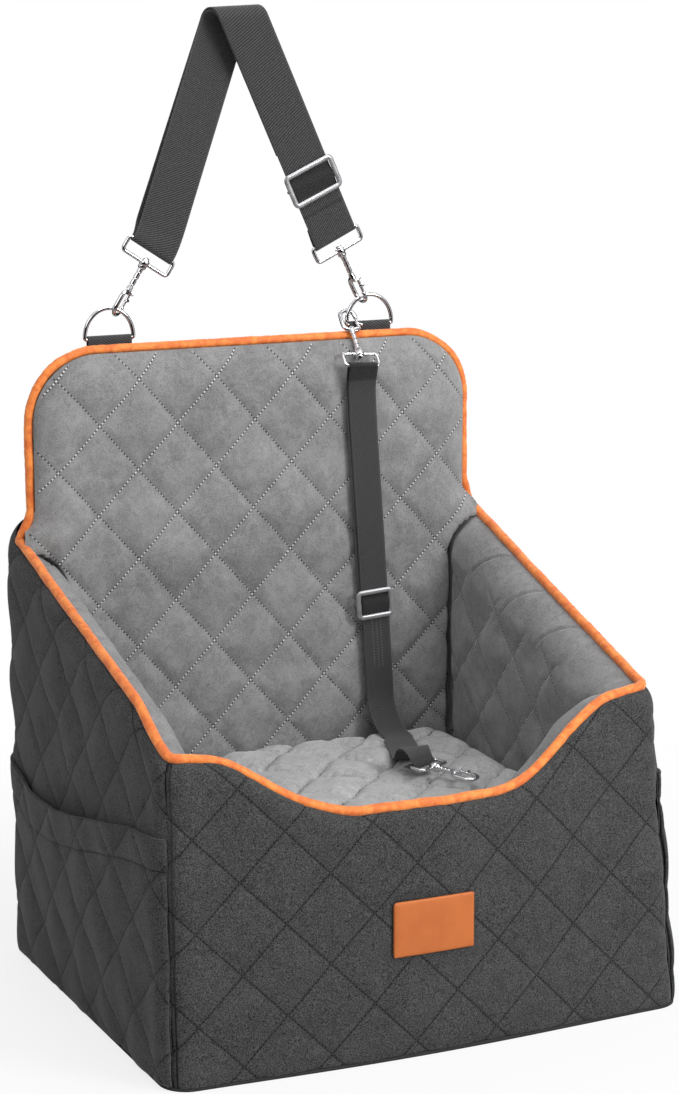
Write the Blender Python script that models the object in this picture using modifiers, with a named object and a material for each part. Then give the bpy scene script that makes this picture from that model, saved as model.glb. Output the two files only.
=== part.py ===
"""Dog car seat: a quilted foam bucket with a headrest strap and a safety tether.

Metres, +Z up, +X to the right of someone facing the seat's front, +Y to the rear.
The origin is at the bottom centre of the body.
"""

import math

import bmesh
import bpy
from mathutils import Matrix, Vector

# Body, outside
BODY_DEPTH = 0.435
FLOOR_HALF_WIDTH = 0.252
RIGHT_SPREAD = 0.021
SPREAD_START = 0.12
FRONT_RIM_HALF_WIDTH = 0.250
REAR_RIM_HALF_WIDTH = 0.2575
CORNER_RADIUS = 0.027
FRONT_FLOOR_BOW = 0.010
FRONT_RIM_BOW = 0.0265
FRONT_LEAN = 0.018

# Rim
DIP_HEIGHT = 0.2325
DIP_HALF_WIDTH = 0.066
FRONT_CORNER_HEIGHT = 0.308
REAR_RIM_HEIGHT = 0.4195
SHOULDER_HEIGHT = 0.440
WALL_THICKNESS = 0.048
CREST_INSET = 0.012
SHOULDER_INSET = 0.005
OUTER_ROLL = 0.022
INNER_ROLL = 0.036
INNER_CORNER_RADIUS = 0.006
CORNER_TIGHTENING = 1.6

# Stand of the soft front rim, which isn't the same on both sides
LEFT_DIP_HALF_WIDTH = 0.085
LEFT_SHELF_X = 0.2115
LEFT_SHELF_HEIGHT = 0.2915
LEFT_CORNER_HEIGHT = 0.2945
RIGHT_DIP_HALF_WIDTH = 0.072
RIGHT_SHELF_X = 0.205
RIGHT_SHELF_HEIGHT = 0.304
SETTLE_RISE = 0.05
SETTLE_ALONG = 0.08
SETTLE_BEHIND = 0.05

# Cloth, foam and the running gap between pieces
CLOTH = 0.003
GAP = 0.0003
PIPING_RADIUS = 0.0045
PIPING_GAP = 0.0003
FOAM_SLACK = 0.001

# Back panel
PANEL_HALF_WIDTH = 0.2335
PANEL_HEIGHT = 0.6015
PANEL_CORNER_RADIUS = 0.067
PANEL_FRONT_HALF = 0.025
PANEL_REAR_HALF = 0.030
PANEL_EDGE_ROUND = 0.045

# Seat
SEAT_DECK_HEIGHT = 0.145
CUSHION_HEIGHT = 0.200
CUSHION_EDGE_HEIGHT = 0.168
CUSHION_EDGE_ROUND = 0.030
CUSHION_CHANNEL = 0.005
CUSHION_PULL_IN = 0.004
CUSHION_SLACK = 0.001
CUSHION_DIAMONDS_ACROSS = 5
CUSHION_DIAMONDS_DEEP = 4

# Pockets
POCKET_CLOTH = 0.0025
POCKET_STAND_OFF = 0.008
POCKET_FRONT_HEIGHT = 0.226
POCKET_LOW_HEIGHT = 0.187
POCKET_REAR_HEIGHT = 0.207

# Label
LABEL_WIDTH = 0.081
LABEL_HEIGHT = 0.052
LABEL_THICKNESS = 0.0014
LABEL_CENTRE_HEIGHT = 0.124
LABEL_CORNER = 0.003

# D-rings and their tabs
RING_SPACING = 0.280
RING_SHIFT = -0.008
RING_BAR_HEIGHT = 0.6125
RING_WIDTH = 0.050
RING_RISE = 0.030
RING_FOOT = 0.002
RING_WIRE = 0.004
TAB_WIDTH = 0.0445
TAB_WEB = 0.0015

# Headrest strap
STRAP_WIDTH = 0.0475
STRAP_WEB = 0.0016
STRAP_LAYER_GAP = 0.0008
STRAP_LEAN = math.radians(22.4)
STRAP_TILT = math.radians(2.5)
STRAP_TURN_RADIUS = 0.009
STRAP_REAR_SAG = 0.008
STRAP_FRONT_SAG = 0.003
STRAP_RIGHT_DRAW = 0.001
STRAP_EASE = 0.026
HOOK_OFFSET = 0.009
LEFT_HOOK_LEAN = math.radians(33)
RIGHT_HOOK_LEAN = math.radians(26)

# Snap hooks of the strap, and of the tether
STRAP_HOOK_REACH = 0.068
STRAP_EYE_WIDTH = 0.0535
STRAP_EYE_HEIGHT = 0.0155
STRAP_EYE_WIRE = 0.0038
TETHER_HOOK_REACH = 0.067
END_HOOK_REACH = 0.061
TETHER_EYE_WIDTH = 0.0365
TETHER_EYE_HEIGHT = 0.0150
TETHER_EYE_WIRE = 0.0034
BOW_WIRE = 0.0044
HOOK_PLAY = 0.001
BOW_HALF_WIDTH = 0.0078
SHANK_RADIUS = 0.0026
COLLAR_RADIUS = 0.0042
STUD_RADIUS = 0.0018
STUD_HEAD_RADIUS = 0.0033
BOSS_RADIUS = 0.0048
BOSS_HALF = 0.0030
GATE_WIRE = 0.0028
PIN_RADIUS = 0.0010

# Tri-glides
GLIDE_WIRE = 0.0032
STRAP_GLIDE_HEIGHT = 0.034
STRAP_GLIDE_RISE = 0.058
TETHER_GLIDE_HEIGHT = 0.029
GLIDE_SIDE_GAP = 0.0008

# Tether
TETHER_WIDTH = 0.030
TETHER_WEB = 0.0015
TETHER_HOOK_LEAN = math.radians(47)
TETHER_HOOK_YAW = math.radians(4.5)
END_HOOK_YAW = math.radians(22.8)
TETHER_RING_ANGLE = math.radians(165)
TETHER_RUN_STAND_OFF = 0.008
TETHER_RUN_TOP = 0.548
TETHER_RUN_FOOT_RISE = 0.045
TETHER_DRIFT = 0.0685
TETHER_GLIDE_Z = 0.332
TETHER_LAYER_SHIFT = 0.002
TETHER_HUMP = 0.010
TETHER_TAIL = 0.012
END_HOOK_EYE_X = 0.088
END_HOOK_EYE_REACH = 0.1815
END_HOOK_EYE_RISE = 0.0115
END_HOOK_FALL = 0.0025
GLIDE_END_GAP = 0.0006

REAR_Y = BODY_DEPTH / 2
FRONT_Y = -BODY_DEPTH / 2
PANEL_Y = REAR_Y - PANEL_REAR_HALF
PANEL_FRONT_Y = PANEL_Y - PANEL_FRONT_HALF
TETHER_RUN_Y = PANEL_FRONT_Y - TETHER_RUN_STAND_OFF
TETHER_RUN_FOOT = CUSHION_HEIGHT + TETHER_RUN_FOOT_RISE
END_HOOK_EYE = (END_HOOK_EYE_X, PANEL_FRONT_Y - END_HOOK_EYE_REACH, CUSHION_HEIGHT + END_HOOK_EYE_RISE)
BOTTOM_Z = CLOTH + GAP
FOAM_DEPTH = CLOTH + FOAM_SLACK
FOAM_PULL = 2.2


def start_scene():
    """An empty scene with one collection for the seat and one for its cutters."""
    for obj in list(bpy.data.objects):
        bpy.data.objects.remove(obj)
    seat = bpy.data.collections.new("dog_car_seat")
    tools = bpy.data.collections.new("cutters")
    tools.hide_render = True
    for made in (seat, tools):
        bpy.context.scene.collection.children.link(made)
    return seat, tools


SEAT, TOOLS = start_scene()


def material(name, colour, roughness, metallic=0.0):
    """A Principled material of one colour."""
    made = bpy.data.materials.new(name)
    made.use_nodes = True
    shader = made.node_tree.nodes["Principled BSDF"]
    shader.inputs["Base Color"].default_value = (*colour, 1.0)
    shader.inputs["Roughness"].default_value = roughness
    shader.inputs["Metallic"].default_value = metallic
    return made


COLOURS = {
    "dark_velvet": ((0.045, 0.045, 0.048), 0.9),
    "grey_velvet": ((0.22, 0.22, 0.22), 0.9),
    "foam": ((0.8, 0.78, 0.72), 1.0),
    "orange_piping": ((0.9, 0.25, 0.03), 0.6),
    "orange_leather": ((0.7, 0.2, 0.05), 0.5),
    "black_webbing": ((0.04, 0.04, 0.042), 0.8),
    "steel": ((0.8, 0.8, 0.8), 0.2, 1.0),
    "rubber_dots": ((0.03, 0.03, 0.03), 0.8),
}


def mesh_object(name, verts, faces, finish, collection=None):
    """One closed mesh as a named object, with its faces turned out."""
    mesh = bpy.data.meshes.new(name)
    mesh.from_pydata([tuple(v) for v in verts], [], faces)
    work = bmesh.new()
    work.from_mesh(mesh)
    bmesh.ops.recalc_face_normals(work, faces=work.faces)
    work.to_mesh(mesh)
    work.free()
    obj = bpy.data.objects.new(name, mesh)
    (collection or SEAT).objects.link(obj)
    obj.data.materials.append(material(name, *COLOURS[finish]))
    mesh.shade_smooth()
    mesh.set_sharp_from_angle(angle=math.radians(35))
    return obj


def loft(name, pairs, finish):
    """A closed shell through stations; a station is two lines, one on each of its faces."""
    count = len(pairs[0][0])
    ring = 2 * count
    verts = [p for first, second in pairs for p in list(first) + list(second)[::-1]]
    faces = []
    for row in range(len(pairs) - 1):
        for i in range(ring):
            a, b = row * ring + i, row * ring + (i + 1) % ring
            if i < count:
                faces += [(a, b, b + ring), (a, b + ring, a + ring)]
            else:
                faces += [(a, b, a + ring), (b, b + ring, a + ring)]
    for row in (0, len(pairs) - 1):
        for i in range(count - 1):
            a, b = row * ring + i, row * ring + ring - 1 - i
            faces.append((a, a + 1, b - 1, b))
    return mesh_object(name, verts, faces, finish)


def grid_shell(name, front, back, finish):
    """A closed shell between two grids of points with the same rows and columns."""
    rows, columns = len(front), len(front[0])
    verts = [p for grid in (front, back) for row in grid for p in row]
    other = rows * columns
    faces = []
    for r in range(rows - 1):
        for c in range(columns - 1):
            a = r * columns + c
            quad = (a, a + 1, a + columns + 1, a + columns)
            faces.append(quad)
            faces.append(tuple(v + other for v in quad))
    edge = [c for c in range(columns)]
    edge += [r * columns + columns - 1 for r in range(1, rows)]
    edge += [(rows - 1) * columns + c for c in range(columns - 2, -1, -1)]
    edge += [r * columns for r in range(rows - 2, 0, -1)]
    for a, b in zip(edge, edge[1:] + edge[:1]):
        faces.append((a, b, b + other, a + other))
    return mesh_object(name, verts, faces, finish)


def ribbon(name, stations, web, finish):
    """Webbing through stations, each its middle, its half width as a vector, and its face's normal."""
    pairs = []
    for middle, half, normal in stations:
        rise = normal.normalized() * (web / 2)
        pairs.append(
            (
                (middle - half + rise, middle + half + rise),
                (middle - half - rise, middle + half - rise),
            )
        )
    return loft(name, pairs, finish)


def wire(name, points, radius, finish, cyclic=False, resolution=2, radii=None):
    """A bent wire: a curve with a round bevel."""
    curve = bpy.data.curves.new(name, "CURVE")
    curve.dimensions = "3D"
    curve.bevel_depth = radius
    curve.bevel_resolution = resolution
    curve.use_fill_caps = True
    spline = curve.splines.new("POLY")
    spline.points.add(len(points) - 1)
    for i, point in enumerate(points):
        spline.points[i].co = (*point, 1.0)
        spline.points[i].radius = radii[i] if radii else 1.0
    spline.use_cyclic_u = cyclic
    obj = bpy.data.objects.new(name, curve)
    SEAT.objects.link(obj)
    obj.data.materials.append(material(name, *COLOURS[finish]))
    return obj


def to_mesh(obj):
    """A curve or a modified object made a plain welded mesh, in place."""
    bpy.context.view_layer.update()
    graph = bpy.context.evaluated_depsgraph_get()
    mesh = bpy.data.meshes.new_from_object(obj.evaluated_get(graph))
    work = bmesh.new()
    work.from_mesh(mesh)
    bmesh.ops.remove_doubles(work, verts=work.verts, dist=STUD_RADIUS / 1000)
    bmesh.ops.recalc_face_normals(work, faces=work.faces)
    work.to_mesh(mesh)
    work.free()
    mesh.shade_smooth()
    mesh.set_sharp_from_angle(angle=math.radians(35))
    made = bpy.data.objects.new(obj.name + "_mesh", mesh)
    SEAT.objects.link(made)
    made.matrix_world = obj.matrix_world
    name = obj.name
    bpy.data.objects.remove(obj)
    made.name = name
    return made


def boolean(target, other, operation):
    """The target joined with, or cut by, another object, which is used up."""
    cut = target.modifiers.new(operation.lower(), "BOOLEAN")
    cut.operation = operation
    cut.object = other
    made = to_mesh(target)
    bpy.data.objects.remove(other)
    return made


def turned(name, profile, finish, steps=12):
    """A shape turned about Z from a profile of (radius, height), top to bottom."""
    mesh = bpy.data.meshes.new(name)
    mesh.from_pydata([(r, 0, z) for r, z in profile], [(i, i + 1) for i in range(len(profile) - 1)], [])
    obj = bpy.data.objects.new(name, mesh)
    SEAT.objects.link(obj)
    obj.data.materials.append(material(name, *COLOURS[finish]))
    screw = obj.modifiers.new("turn", "SCREW")
    screw.steps = screw.render_steps = steps
    screw.use_merge_vertices = True
    screw.merge_threshold = 0.00001
    return obj


# Plan of the walls
# A station is a kind and a share: "front" from the middle to the corner, "corner" round it,
# "side" from the corner to the rear, and "rear" round the rear corner.


def lerp(a, b, share):
    return a + (b - a) * share


def half_width(share, z):
    """Half the body's width, share 0 at the front and 1 at the rear."""
    rim = lerp(FRONT_RIM_HALF_WIDTH, REAR_RIM_HALF_WIDTH, share)
    top = lerp(FRONT_CORNER_HEIGHT, REAR_RIM_HEIGHT, share)
    return lerp(FLOOR_HALF_WIDTH, rim, z / top)


def front_face(x, z):
    """Y of the bowed and leaning front."""
    share = z / FRONT_CORNER_HEIGHT
    bow = lerp(FRONT_FLOOR_BOW, FRONT_RIM_BOW, share)
    across = min(1.0, abs(x) / (FLOOR_HALF_WIDTH - CORNER_RADIUS / 3))
    return FRONT_Y + FRONT_FLOOR_BOW + FRONT_LEAN * share - bow * (1 - across**2) ** 1.5


def plan(station, z, inset, end_y=None):
    """Point of the right half's plan at a station, that far in from the outside."""
    kind, share = station
    radius = max(CORNER_RADIUS - CORNER_TIGHTENING * inset, INNER_CORNER_RADIUS)
    front_half = half_width(0, z) - inset
    corner_x = front_half - radius
    if kind == "front":
        x = corner_x * share
        return Vector((x, front_face(x, z) + inset, z))
    corner_y = front_face(corner_x, z) + inset + radius
    if kind == "corner":
        angle = math.pi / 2 * share
        return Vector((corner_x + radius * math.sin(angle), corner_y - radius * math.cos(angle), z))
    rear_y = REAR_Y - CORNER_RADIUS
    if kind == "side":
        y = lerp(corner_y, rear_y if end_y is None else end_y, share)
        along = (y - corner_y) / (rear_y - corner_y)
        return Vector((half_width(along, z) - inset, y, z))
    angle = math.pi / 2 * share
    rear_x = half_width(1, z) - CORNER_RADIUS
    rear_radius = CORNER_RADIUS - inset
    return Vector((rear_x + rear_radius * math.cos(angle), rear_y + rear_radius * math.sin(angle), z))


def smooth(share):
    share = min(1.0, max(0.0, share))
    return share * share * (3 - 2 * share)


def rim_height(station, end_y=None):
    """Height of the wall's crest at a station."""
    kind, share = station
    rear_y = REAR_Y - CORNER_RADIUS
    corner = plan(("front", 1), FRONT_CORNER_HEIGHT, CREST_INSET)
    slope = (REAR_RIM_HEIGHT - FRONT_CORNER_HEIGHT) / (rear_y - corner.y)
    if kind == "front":
        x = corner.x * share
        rise = smooth((x - DIP_HALF_WIDTH) / (corner.x - DIP_HALF_WIDTH))
        return lerp(DIP_HEIGHT, FRONT_CORNER_HEIGHT, rise)
    if kind == "rear":
        return lerp(REAR_RIM_HEIGHT, SHOULDER_HEIGHT, share)
    y = plan(station, FRONT_CORNER_HEIGHT, CREST_INSET, end_y).y
    return FRONT_CORNER_HEIGHT + slope * (y - corner.y)


def crest_inset(station):
    kind, share = station
    return lerp(CREST_INSET, SHOULDER_INSET, share) if kind == "rear" else CREST_INSET


def piping_room(station):
    kind, share = station
    room = PIPING_RADIUS + PIPING_GAP
    return lerp(room, GAP, min(1.0, 3 * share)) if kind == "rear" else room


ROLL_STEPS = 4


def outer_line(station, depth, room, end_y=None):
    """A wall's outer face at that depth, from the floor over the outer roll towards the crest."""
    top = rim_height(station, end_y)
    inset = crest_inset(station)
    last = math.acos(min(1.0, room / (inset - depth)))
    line = [plan(station, lerp(BOTTOM_Z, top - OUTER_ROLL, share), depth, end_y) for share in (0, 0.5)]
    for i in range(ROLL_STEPS + 1):
        angle = last * i / ROLL_STEPS
        z = top - OUTER_ROLL + (OUTER_ROLL - depth) * math.sin(angle)
        line.append(plan(station, z, inset - (inset - depth) * math.cos(angle), end_y))
    return line


def inner_line(station, depth, room, end_y=None):
    """A wall's inner face at that depth, from the floor over the inner roll towards the crest."""
    top = rim_height(station, end_y)
    inset = crest_inset(station)
    reach = WALL_THICKNESS - inset - depth
    last = math.acos(min(1.0, room / reach))
    line = [
        plan(station, lerp(BOTTOM_Z, top - INNER_ROLL, share), WALL_THICKNESS - depth, end_y)
        for share in (0, 0.5)
    ]
    for i in range(ROLL_STEPS + 1):
        angle = last * i / ROLL_STEPS
        z = top - INNER_ROLL + (INNER_ROLL - depth) * math.sin(angle)
        line.append(plan(station, z, inset + reach * math.cos(angle), end_y))
    return line


def turned_over(line, side):
    """A right-hand line, or its mirror image on the left."""
    return [Vector((side * p.x, p.y, p.z)) for p in line]


FRONT_SHARES = (0.0, 0.14, 0.28, 0.38, 0.47, 0.56, 0.65, 0.74, 0.83, 0.92, 1.0)
CORNER_SHARES = (0.0, 1 / 6, 1 / 3, 1 / 2, 2 / 3, 5 / 6, 1.0)
SIDE_SHARES = (1 / 6, 1 / 3, 1 / 2, 2 / 3, 5 / 6, 1.0)
REAR_SHARES = (1 / 4, 1 / 2, 3 / 4, 0.985)
COVER_SEAM_SHARE = 1 / 3
LINING_SEAM_SHARE = 1 / 2
COVER_SEAM_GAP_SHARE = 0.006
LINING_SEAM_GAP_SHARE = 0.015


def stations_of_front(seam, gap):
    """Stations from the front's middle to a seam in the corner."""
    found = [("front", share) for share in FRONT_SHARES]
    found += [("corner", share) for share in CORNER_SHARES if 0 < share < seam - gap]
    return found + [("corner", seam - gap)]


def stations_of_side(seam, gap, round_rear):
    """Stations from a seam in the corner to the rear."""
    found = [("corner", seam + gap)]
    found += [("corner", share) for share in CORNER_SHARES if share > seam + gap]
    found += [("side", share) for share in SIDE_SHARES]
    if round_rear:
        found += [("rear", share) for share in REAR_SHARES]
    return found


def wall_pair(layer, station, end_y=None):
    """The two faces of a cover, a foam or a lining at a station."""
    room = piping_room(station)
    if layer == "cover":
        return outer_line(station, 0, room, end_y), outer_line(station, CLOTH, room, end_y)
    if layer == "lining":
        return inner_line(station, 0, room, end_y), inner_line(station, CLOTH, room, end_y)
    return outer_line(station, FOAM_DEPTH, GAP, end_y), inner_line(station, FOAM_DEPTH, GAP, end_y)


def front_wall(name, layer, seam, gap, finish):
    half = stations_of_front(seam, gap)
    pairs = []
    for station in half[:0:-1]:
        first, second = wall_pair(layer, station)
        pairs.append((turned_over(first, -1), turned_over(second, -1)))
    for station in half:
        pairs.append(wall_pair(layer, station))
    return loft(name, pairs, finish)


def side_wall(name, layer, side, seam, gap, finish, end_y=None):
    pairs = []
    for station in stations_of_side(seam, gap, end_y is None):
        first, second = wall_pair(layer, station, end_y)
        pairs.append((turned_over(first, side), turned_over(second, side)))
    return loft(name, pairs, finish)


def build_walls():
    """Covers, foams and linings of the front and of both sides."""
    end_y = PANEL_FRONT_Y - GAP
    front_wall("outer_front", "cover", COVER_SEAM_SHARE, COVER_SEAM_GAP_SHARE, "dark_velvet")
    front_wall("foam_front", "foam", LINING_SEAM_SHARE, LINING_SEAM_GAP_SHARE, "foam")
    front_wall("lining_front", "lining", LINING_SEAM_SHARE, LINING_SEAM_GAP_SHARE, "grey_velvet")
    for word, side in (("left", -1), ("right", 1)):
        side_wall(f"outer_{word}", "cover", side, COVER_SEAM_SHARE, COVER_SEAM_GAP_SHARE, "dark_velvet")
        seam = (LINING_SEAM_SHARE, LINING_SEAM_GAP_SHARE)
        side_wall(f"foam_{word}", "foam", side, *seam, "foam", end_y)
        side_wall(f"lining_{word}", "lining", side, *seam, "grey_velvet", end_y)


def settled(point):
    """Where a point goes as the soft walls stand: the rim's left corner low, the right wall out."""
    x, y, z = point
    across = abs(x)
    if x < 0:
        half, shelf_x = LEFT_DIP_HALF_WIDTH, LEFT_SHELF_X
        shelf, top = LEFT_SHELF_HEIGHT, LEFT_CORNER_HEIGHT
    else:
        half, shelf_x = RIGHT_DIP_HALF_WIDTH, RIGHT_SHELF_X
        shelf, top = RIGHT_SHELF_HEIGHT, FRONT_CORNER_HEIGHT
    corner = plan(("front", 1), FRONT_CORNER_HEIGHT, CREST_INSET)
    shelf_share = min(1.0, max(0.0, (across - shelf_x) / (FRONT_RIM_HALF_WIDTH - CREST_INSET - shelf_x)))
    wanted = lerp(DIP_HEIGHT, shelf, smooth((across - half) / (shelf_x - half)))
    wanted += (top - shelf) * shelf_share
    even = smooth((across - DIP_HALF_WIDTH) / (corner.x - DIP_HALF_WIDTH))
    high = smooth((z - POCKET_FRONT_HEIGHT) / SETTLE_RISE)
    aside = smooth((across - shelf_x + WALL_THICKNESS) / WALL_THICKNESS)
    along = smooth((y - corner.y) / SETTLE_ALONG)
    behind = smooth((y - corner.y - WALL_THICKNESS - CREST_INSET) / SETTLE_BEHIND)
    shift = (wanted - lerp(DIP_HEIGHT, FRONT_CORNER_HEIGHT, even)) * high
    shift *= (1 - aside * along) * (1 - behind)
    low = max(0.0, 1 - z / FRONT_CORNER_HEIGHT)
    reach = smooth((x - SPREAD_START) / (FLOOR_HALF_WIDTH - SPREAD_START))
    return Vector((x + RIGHT_SPREAD * low * reach, y, z + shift))


def settle_walls():
    for obj in SEAT.objects:
        if obj.type == "MESH":
            for vertex in obj.data.vertices:
                vertex.co = settled(vertex.co)


# Back panel
# Its thickness follows the distance in from its outline, which the piping covers.

PANEL_EDGE_STEPS = (0.004, 0.010, 0.019, 0.031, 0.046)
PANEL_INNER_SHARES = (2 / 3, 1 / 3, 0.0)
PANEL_CORNER_STEPS = 5
PANEL_LOW_SHARES = (0.0, 0.45, 0.885)
SHOULDER_SHARES = (0.94, 0.97)


def panel_distance(x, z):
    """Distance in from the back panel's outline."""
    low = smooth((SHOULDER_HEIGHT + CLOTH - z) / (2 * OUTER_ROLL))
    across = PANEL_HALF_WIDTH - abs(x) + low * PANEL_EDGE_ROUND
    down = PANEL_HEIGHT - z
    if across < PANEL_CORNER_RADIUS and down < PANEL_CORNER_RADIUS:
        return PANEL_CORNER_RADIUS - math.hypot(PANEL_CORNER_RADIUS - across, PANEL_CORNER_RADIUS - down)
    return min(across, down)


def bulge(distance, half, depth):
    """How far a face at that depth stands off the panel's middle plane."""
    share = min(1.0, max(0.0, (distance - depth) / (PANEL_EDGE_ROUND - depth)))
    return (half - depth) * math.sqrt(1 - (1 - share) ** 2)


def edge_distance(half, depth, room):
    """Where a face at that depth stands the piping's room off the middle plane."""
    share = room / (half - depth)
    return depth + (PANEL_EDGE_ROUND - depth) * (1 - math.sqrt(1 - share**2))


def panel_rows():
    """Each row's height, its angle round the outline's corner, or None below the shoulder."""
    rows = [(share, None) for share in (*PANEL_LOW_SHARES, *SHOULDER_SHARES, 1.0)]
    rows.append((SHOULDER_HEIGHT + CREST_INSET, 0.0))
    for i in range(PANEL_CORNER_STEPS + 1):
        rows.append((None, math.pi / 2 * i / PANEL_CORNER_STEPS))
    return rows


def panel_grid(sign, half, depth, room, low_width, corner_radius=0.0):
    """A grid over the front (sign -1) or rear face of the panel at that depth."""
    inset = edge_distance(half, depth, room)
    centre_z = PANEL_HEIGHT - PANEL_CORNER_RADIUS
    centre_x = PANEL_HALF_WIDTH - PANEL_CORNER_RADIUS
    grid = []
    for height, angle in panel_rows():
        edges = [inset, *(step + inset / 2 for step in PANEL_EDGE_STEPS)]
        if angle is None:
            z = lerp(BOTTOM_Z, SHOULDER_HEIGHT, height)
            width = low_width(height)
            edges[0] = 0.0
        else:
            z = height if height else centre_z + (PANEL_CORNER_RADIUS - inset) * math.sin(angle)
            width = centre_x + inset + (PANEL_CORNER_RADIUS - inset) * math.cos(angle)
        xs = [width - edge for edge in edges]
        xs += [xs[-1] * share for share in PANEL_INNER_SHARES]
        right = [Vector((x, PANEL_Y + sign * bulge(panel_distance(x, z), half, depth), z)) for x in xs]
        if corner_radius and angle is None and height < SHOULDER_SHARES[0]:
            middle = Vector((width - corner_radius, REAR_Y - CORNER_RADIUS, z))
            for i, turn in enumerate((30, 60, 90) if sign > 0 else (0,)):
                turn = math.radians(turn)
                right[i] = middle + corner_radius * Vector((math.cos(turn), math.sin(turn), 0))
            if sign < 0:
                right[1] = Vector((width, PANEL_Y - half + depth, z))
        left = [Vector((-p.x, p.y, p.z)) for p in right[:-1]]
        grid.append(left + right[::-1])
    return grid


def build_back():
    """Lining, foam and rear cover of the back panel."""
    room = PIPING_RADIUS + PIPING_GAP

    def behind_walls(share):
        return PANEL_HALF_WIDTH - CLOTH

    def between_covers(share):
        return half_width(1, lerp(BOTTOM_Z, SHOULDER_HEIGHT, share)) - CORNER_RADIUS - GAP

    def inside_covers(share):
        z = lerp(BOTTOM_Z, SHOULDER_HEIGHT, share)
        if z > REAR_RIM_HEIGHT:
            return PANEL_HALF_WIDTH - FOAM_PULL * FOAM_DEPTH
        pulled = FOAM_PULL * CREST_INSET if share >= SHOULDER_SHARES[0] else 0
        return half_width(1, z) - FOAM_DEPTH - pulled

    front = panel_grid(-1, PANEL_FRONT_HALF, 0, room, behind_walls)
    back = panel_grid(-1, PANEL_FRONT_HALF, CLOTH, room, behind_walls)
    grid_shell("lining_back", front, back, "grey_velvet")
    front = panel_grid(1, PANEL_REAR_HALF, 0, room, between_covers)
    back = panel_grid(1, PANEL_REAR_HALF, CLOTH, room, between_covers)
    grid_shell("outer_rear", front, back, "dark_velvet")
    radius = CORNER_RADIUS - FOAM_DEPTH
    front = panel_grid(-1, PANEL_FRONT_HALF, FOAM_DEPTH, PIPING_GAP, inside_covers, radius)
    back = panel_grid(1, PANEL_REAR_HALF, FOAM_DEPTH, PIPING_GAP, inside_covers, radius)
    grid_shell("foam_back", front, back, "foam")


def build_piping():
    """One closed cord round the rim and the back panel."""
    half = []
    rim = [("front", share) for share in FRONT_SHARES]
    rim += [("corner", share) for share in CORNER_SHARES[1:]]
    rim += [("side", share) for share in SIDE_SHARES]
    crest = [plan(station, rim_height(station), CREST_INSET) for station in rim]
    for i, point in enumerate(crest):
        ahead = crest[min(i + 1, len(crest) - 1)] - crest[max(i - 1, 0)]
        slope = ahead.z / ahead.length
        lift = PIPING_RADIUS / math.sqrt(1 - slope**2) - CLOTH + GAP
        half.append(point + Vector((0, 0, lift)))
    out = PIPING_RADIUS - CLOTH + GAP
    centre_z = PANEL_HEIGHT - PANEL_CORNER_RADIUS
    centre_x = PANEL_HALF_WIDTH - PANEL_CORNER_RADIUS
    radius = PANEL_CORNER_RADIUS + out
    half.append(Vector((PANEL_HALF_WIDTH + out + CLOTH, PANEL_Y, SHOULDER_HEIGHT)))
    half.append(Vector((PANEL_HALF_WIDTH + out, PANEL_Y, SHOULDER_HEIGHT + CREST_INSET)))
    for i in range(2 * PANEL_CORNER_STEPS + 1):
        angle = math.pi / 2 * i / (2 * PANEL_CORNER_STEPS)
        x = centre_x + radius * math.cos(angle)
        half.append(Vector((x, PANEL_Y, centre_z + radius * math.sin(angle))))
    other = [Vector((-p.x, p.y, p.z)) for p in half[:0:-1]]
    line = [settled(point) for point in half + other]
    wire("rim_piping", line, PIPING_RADIUS, "orange_piping", cyclic=True)


# Base, booster and cushion


def outline_at(z, inset, rear_y):
    """Closed plan outline inside the walls at a height, ending square at the rear."""
    shares = [("front", share) for share in FRONT_SHARES[::2]]
    shares += [("corner", share) for share in CORNER_SHARES[1:]]
    half = [plan(station, z, inset) for station in shares]
    along = (rear_y - half[-1].y) / (REAR_Y - CORNER_RADIUS - half[-1].y)
    half.append(Vector((half_width(along, z) - inset, rear_y, z)))
    return half + [Vector((-p.x, p.y, p.z)) for p in half[:0:-1]]


def prism(name, low, high, finish):
    """A solid between two like outlines."""
    count = len(low)
    faces = [tuple(range(count)), tuple(range(count, 2 * count))]
    faces += [(i, (i + 1) % count, count + (i + 1) % count, count + i) for i in range(count)]
    return mesh_object(name, list(low) + list(high), faces, finish)


def build_base():
    """The underside cloth, and the sponge block under the cushion."""
    shares = [("front", share) for share in FRONT_SHARES[::2]]
    shares += [("corner", share) for share in CORNER_SHARES[1:]]
    shares += [("side", 1.0)] + [("rear", share) for share in REAR_SHARES]
    half = [plan(station, 0, GAP) for station in shares]
    outline = half + [Vector((-p.x, p.y, p.z)) for p in half[:0:-1]]
    raised = [p + Vector((0, 0, CLOTH)) for p in outline]
    prism("non_slip_base", outline, raised, "rubber_dots")
    inset = WALL_THICKNESS + CUSHION_SLACK
    rear_y = PANEL_FRONT_Y - CUSHION_SLACK
    low = outline_at(BOTTOM_Z, inset, rear_y)
    high = outline_at(SEAT_DECK_HEIGHT, inset, rear_y)
    prism("booster_foam", low, high, "foam")


def cushion_point(u, v):
    """Plan point of the cushion, u across from -1 to 1 and v from the front, -1, to the rear, 1."""
    inset = WALL_THICKNESS + CUSHION_SLACK
    z = CUSHION_EDGE_HEIGHT
    corner = plan(("side", 0), z, inset)
    front_y = front_face(u * corner.x, z) + inset
    rear_y = PANEL_FRONT_Y - CUSHION_SLACK
    round_share = 0.035
    v_round = v * (1 - round_share * u**8)
    y = lerp(front_y, rear_y, (v_round + 1) / 2)
    along = (y - corner.y) / (REAR_Y - CORNER_RADIUS - corner.y)
    width = half_width(along, z) - inset - CUSHION_PULL_IN * (1 - v * v)
    x = u * width * (1 - round_share * v**8)
    return x, y - (CUSHION_PULL_IN * (1 - u * u) if v > 0 else 0) * v**2


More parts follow.
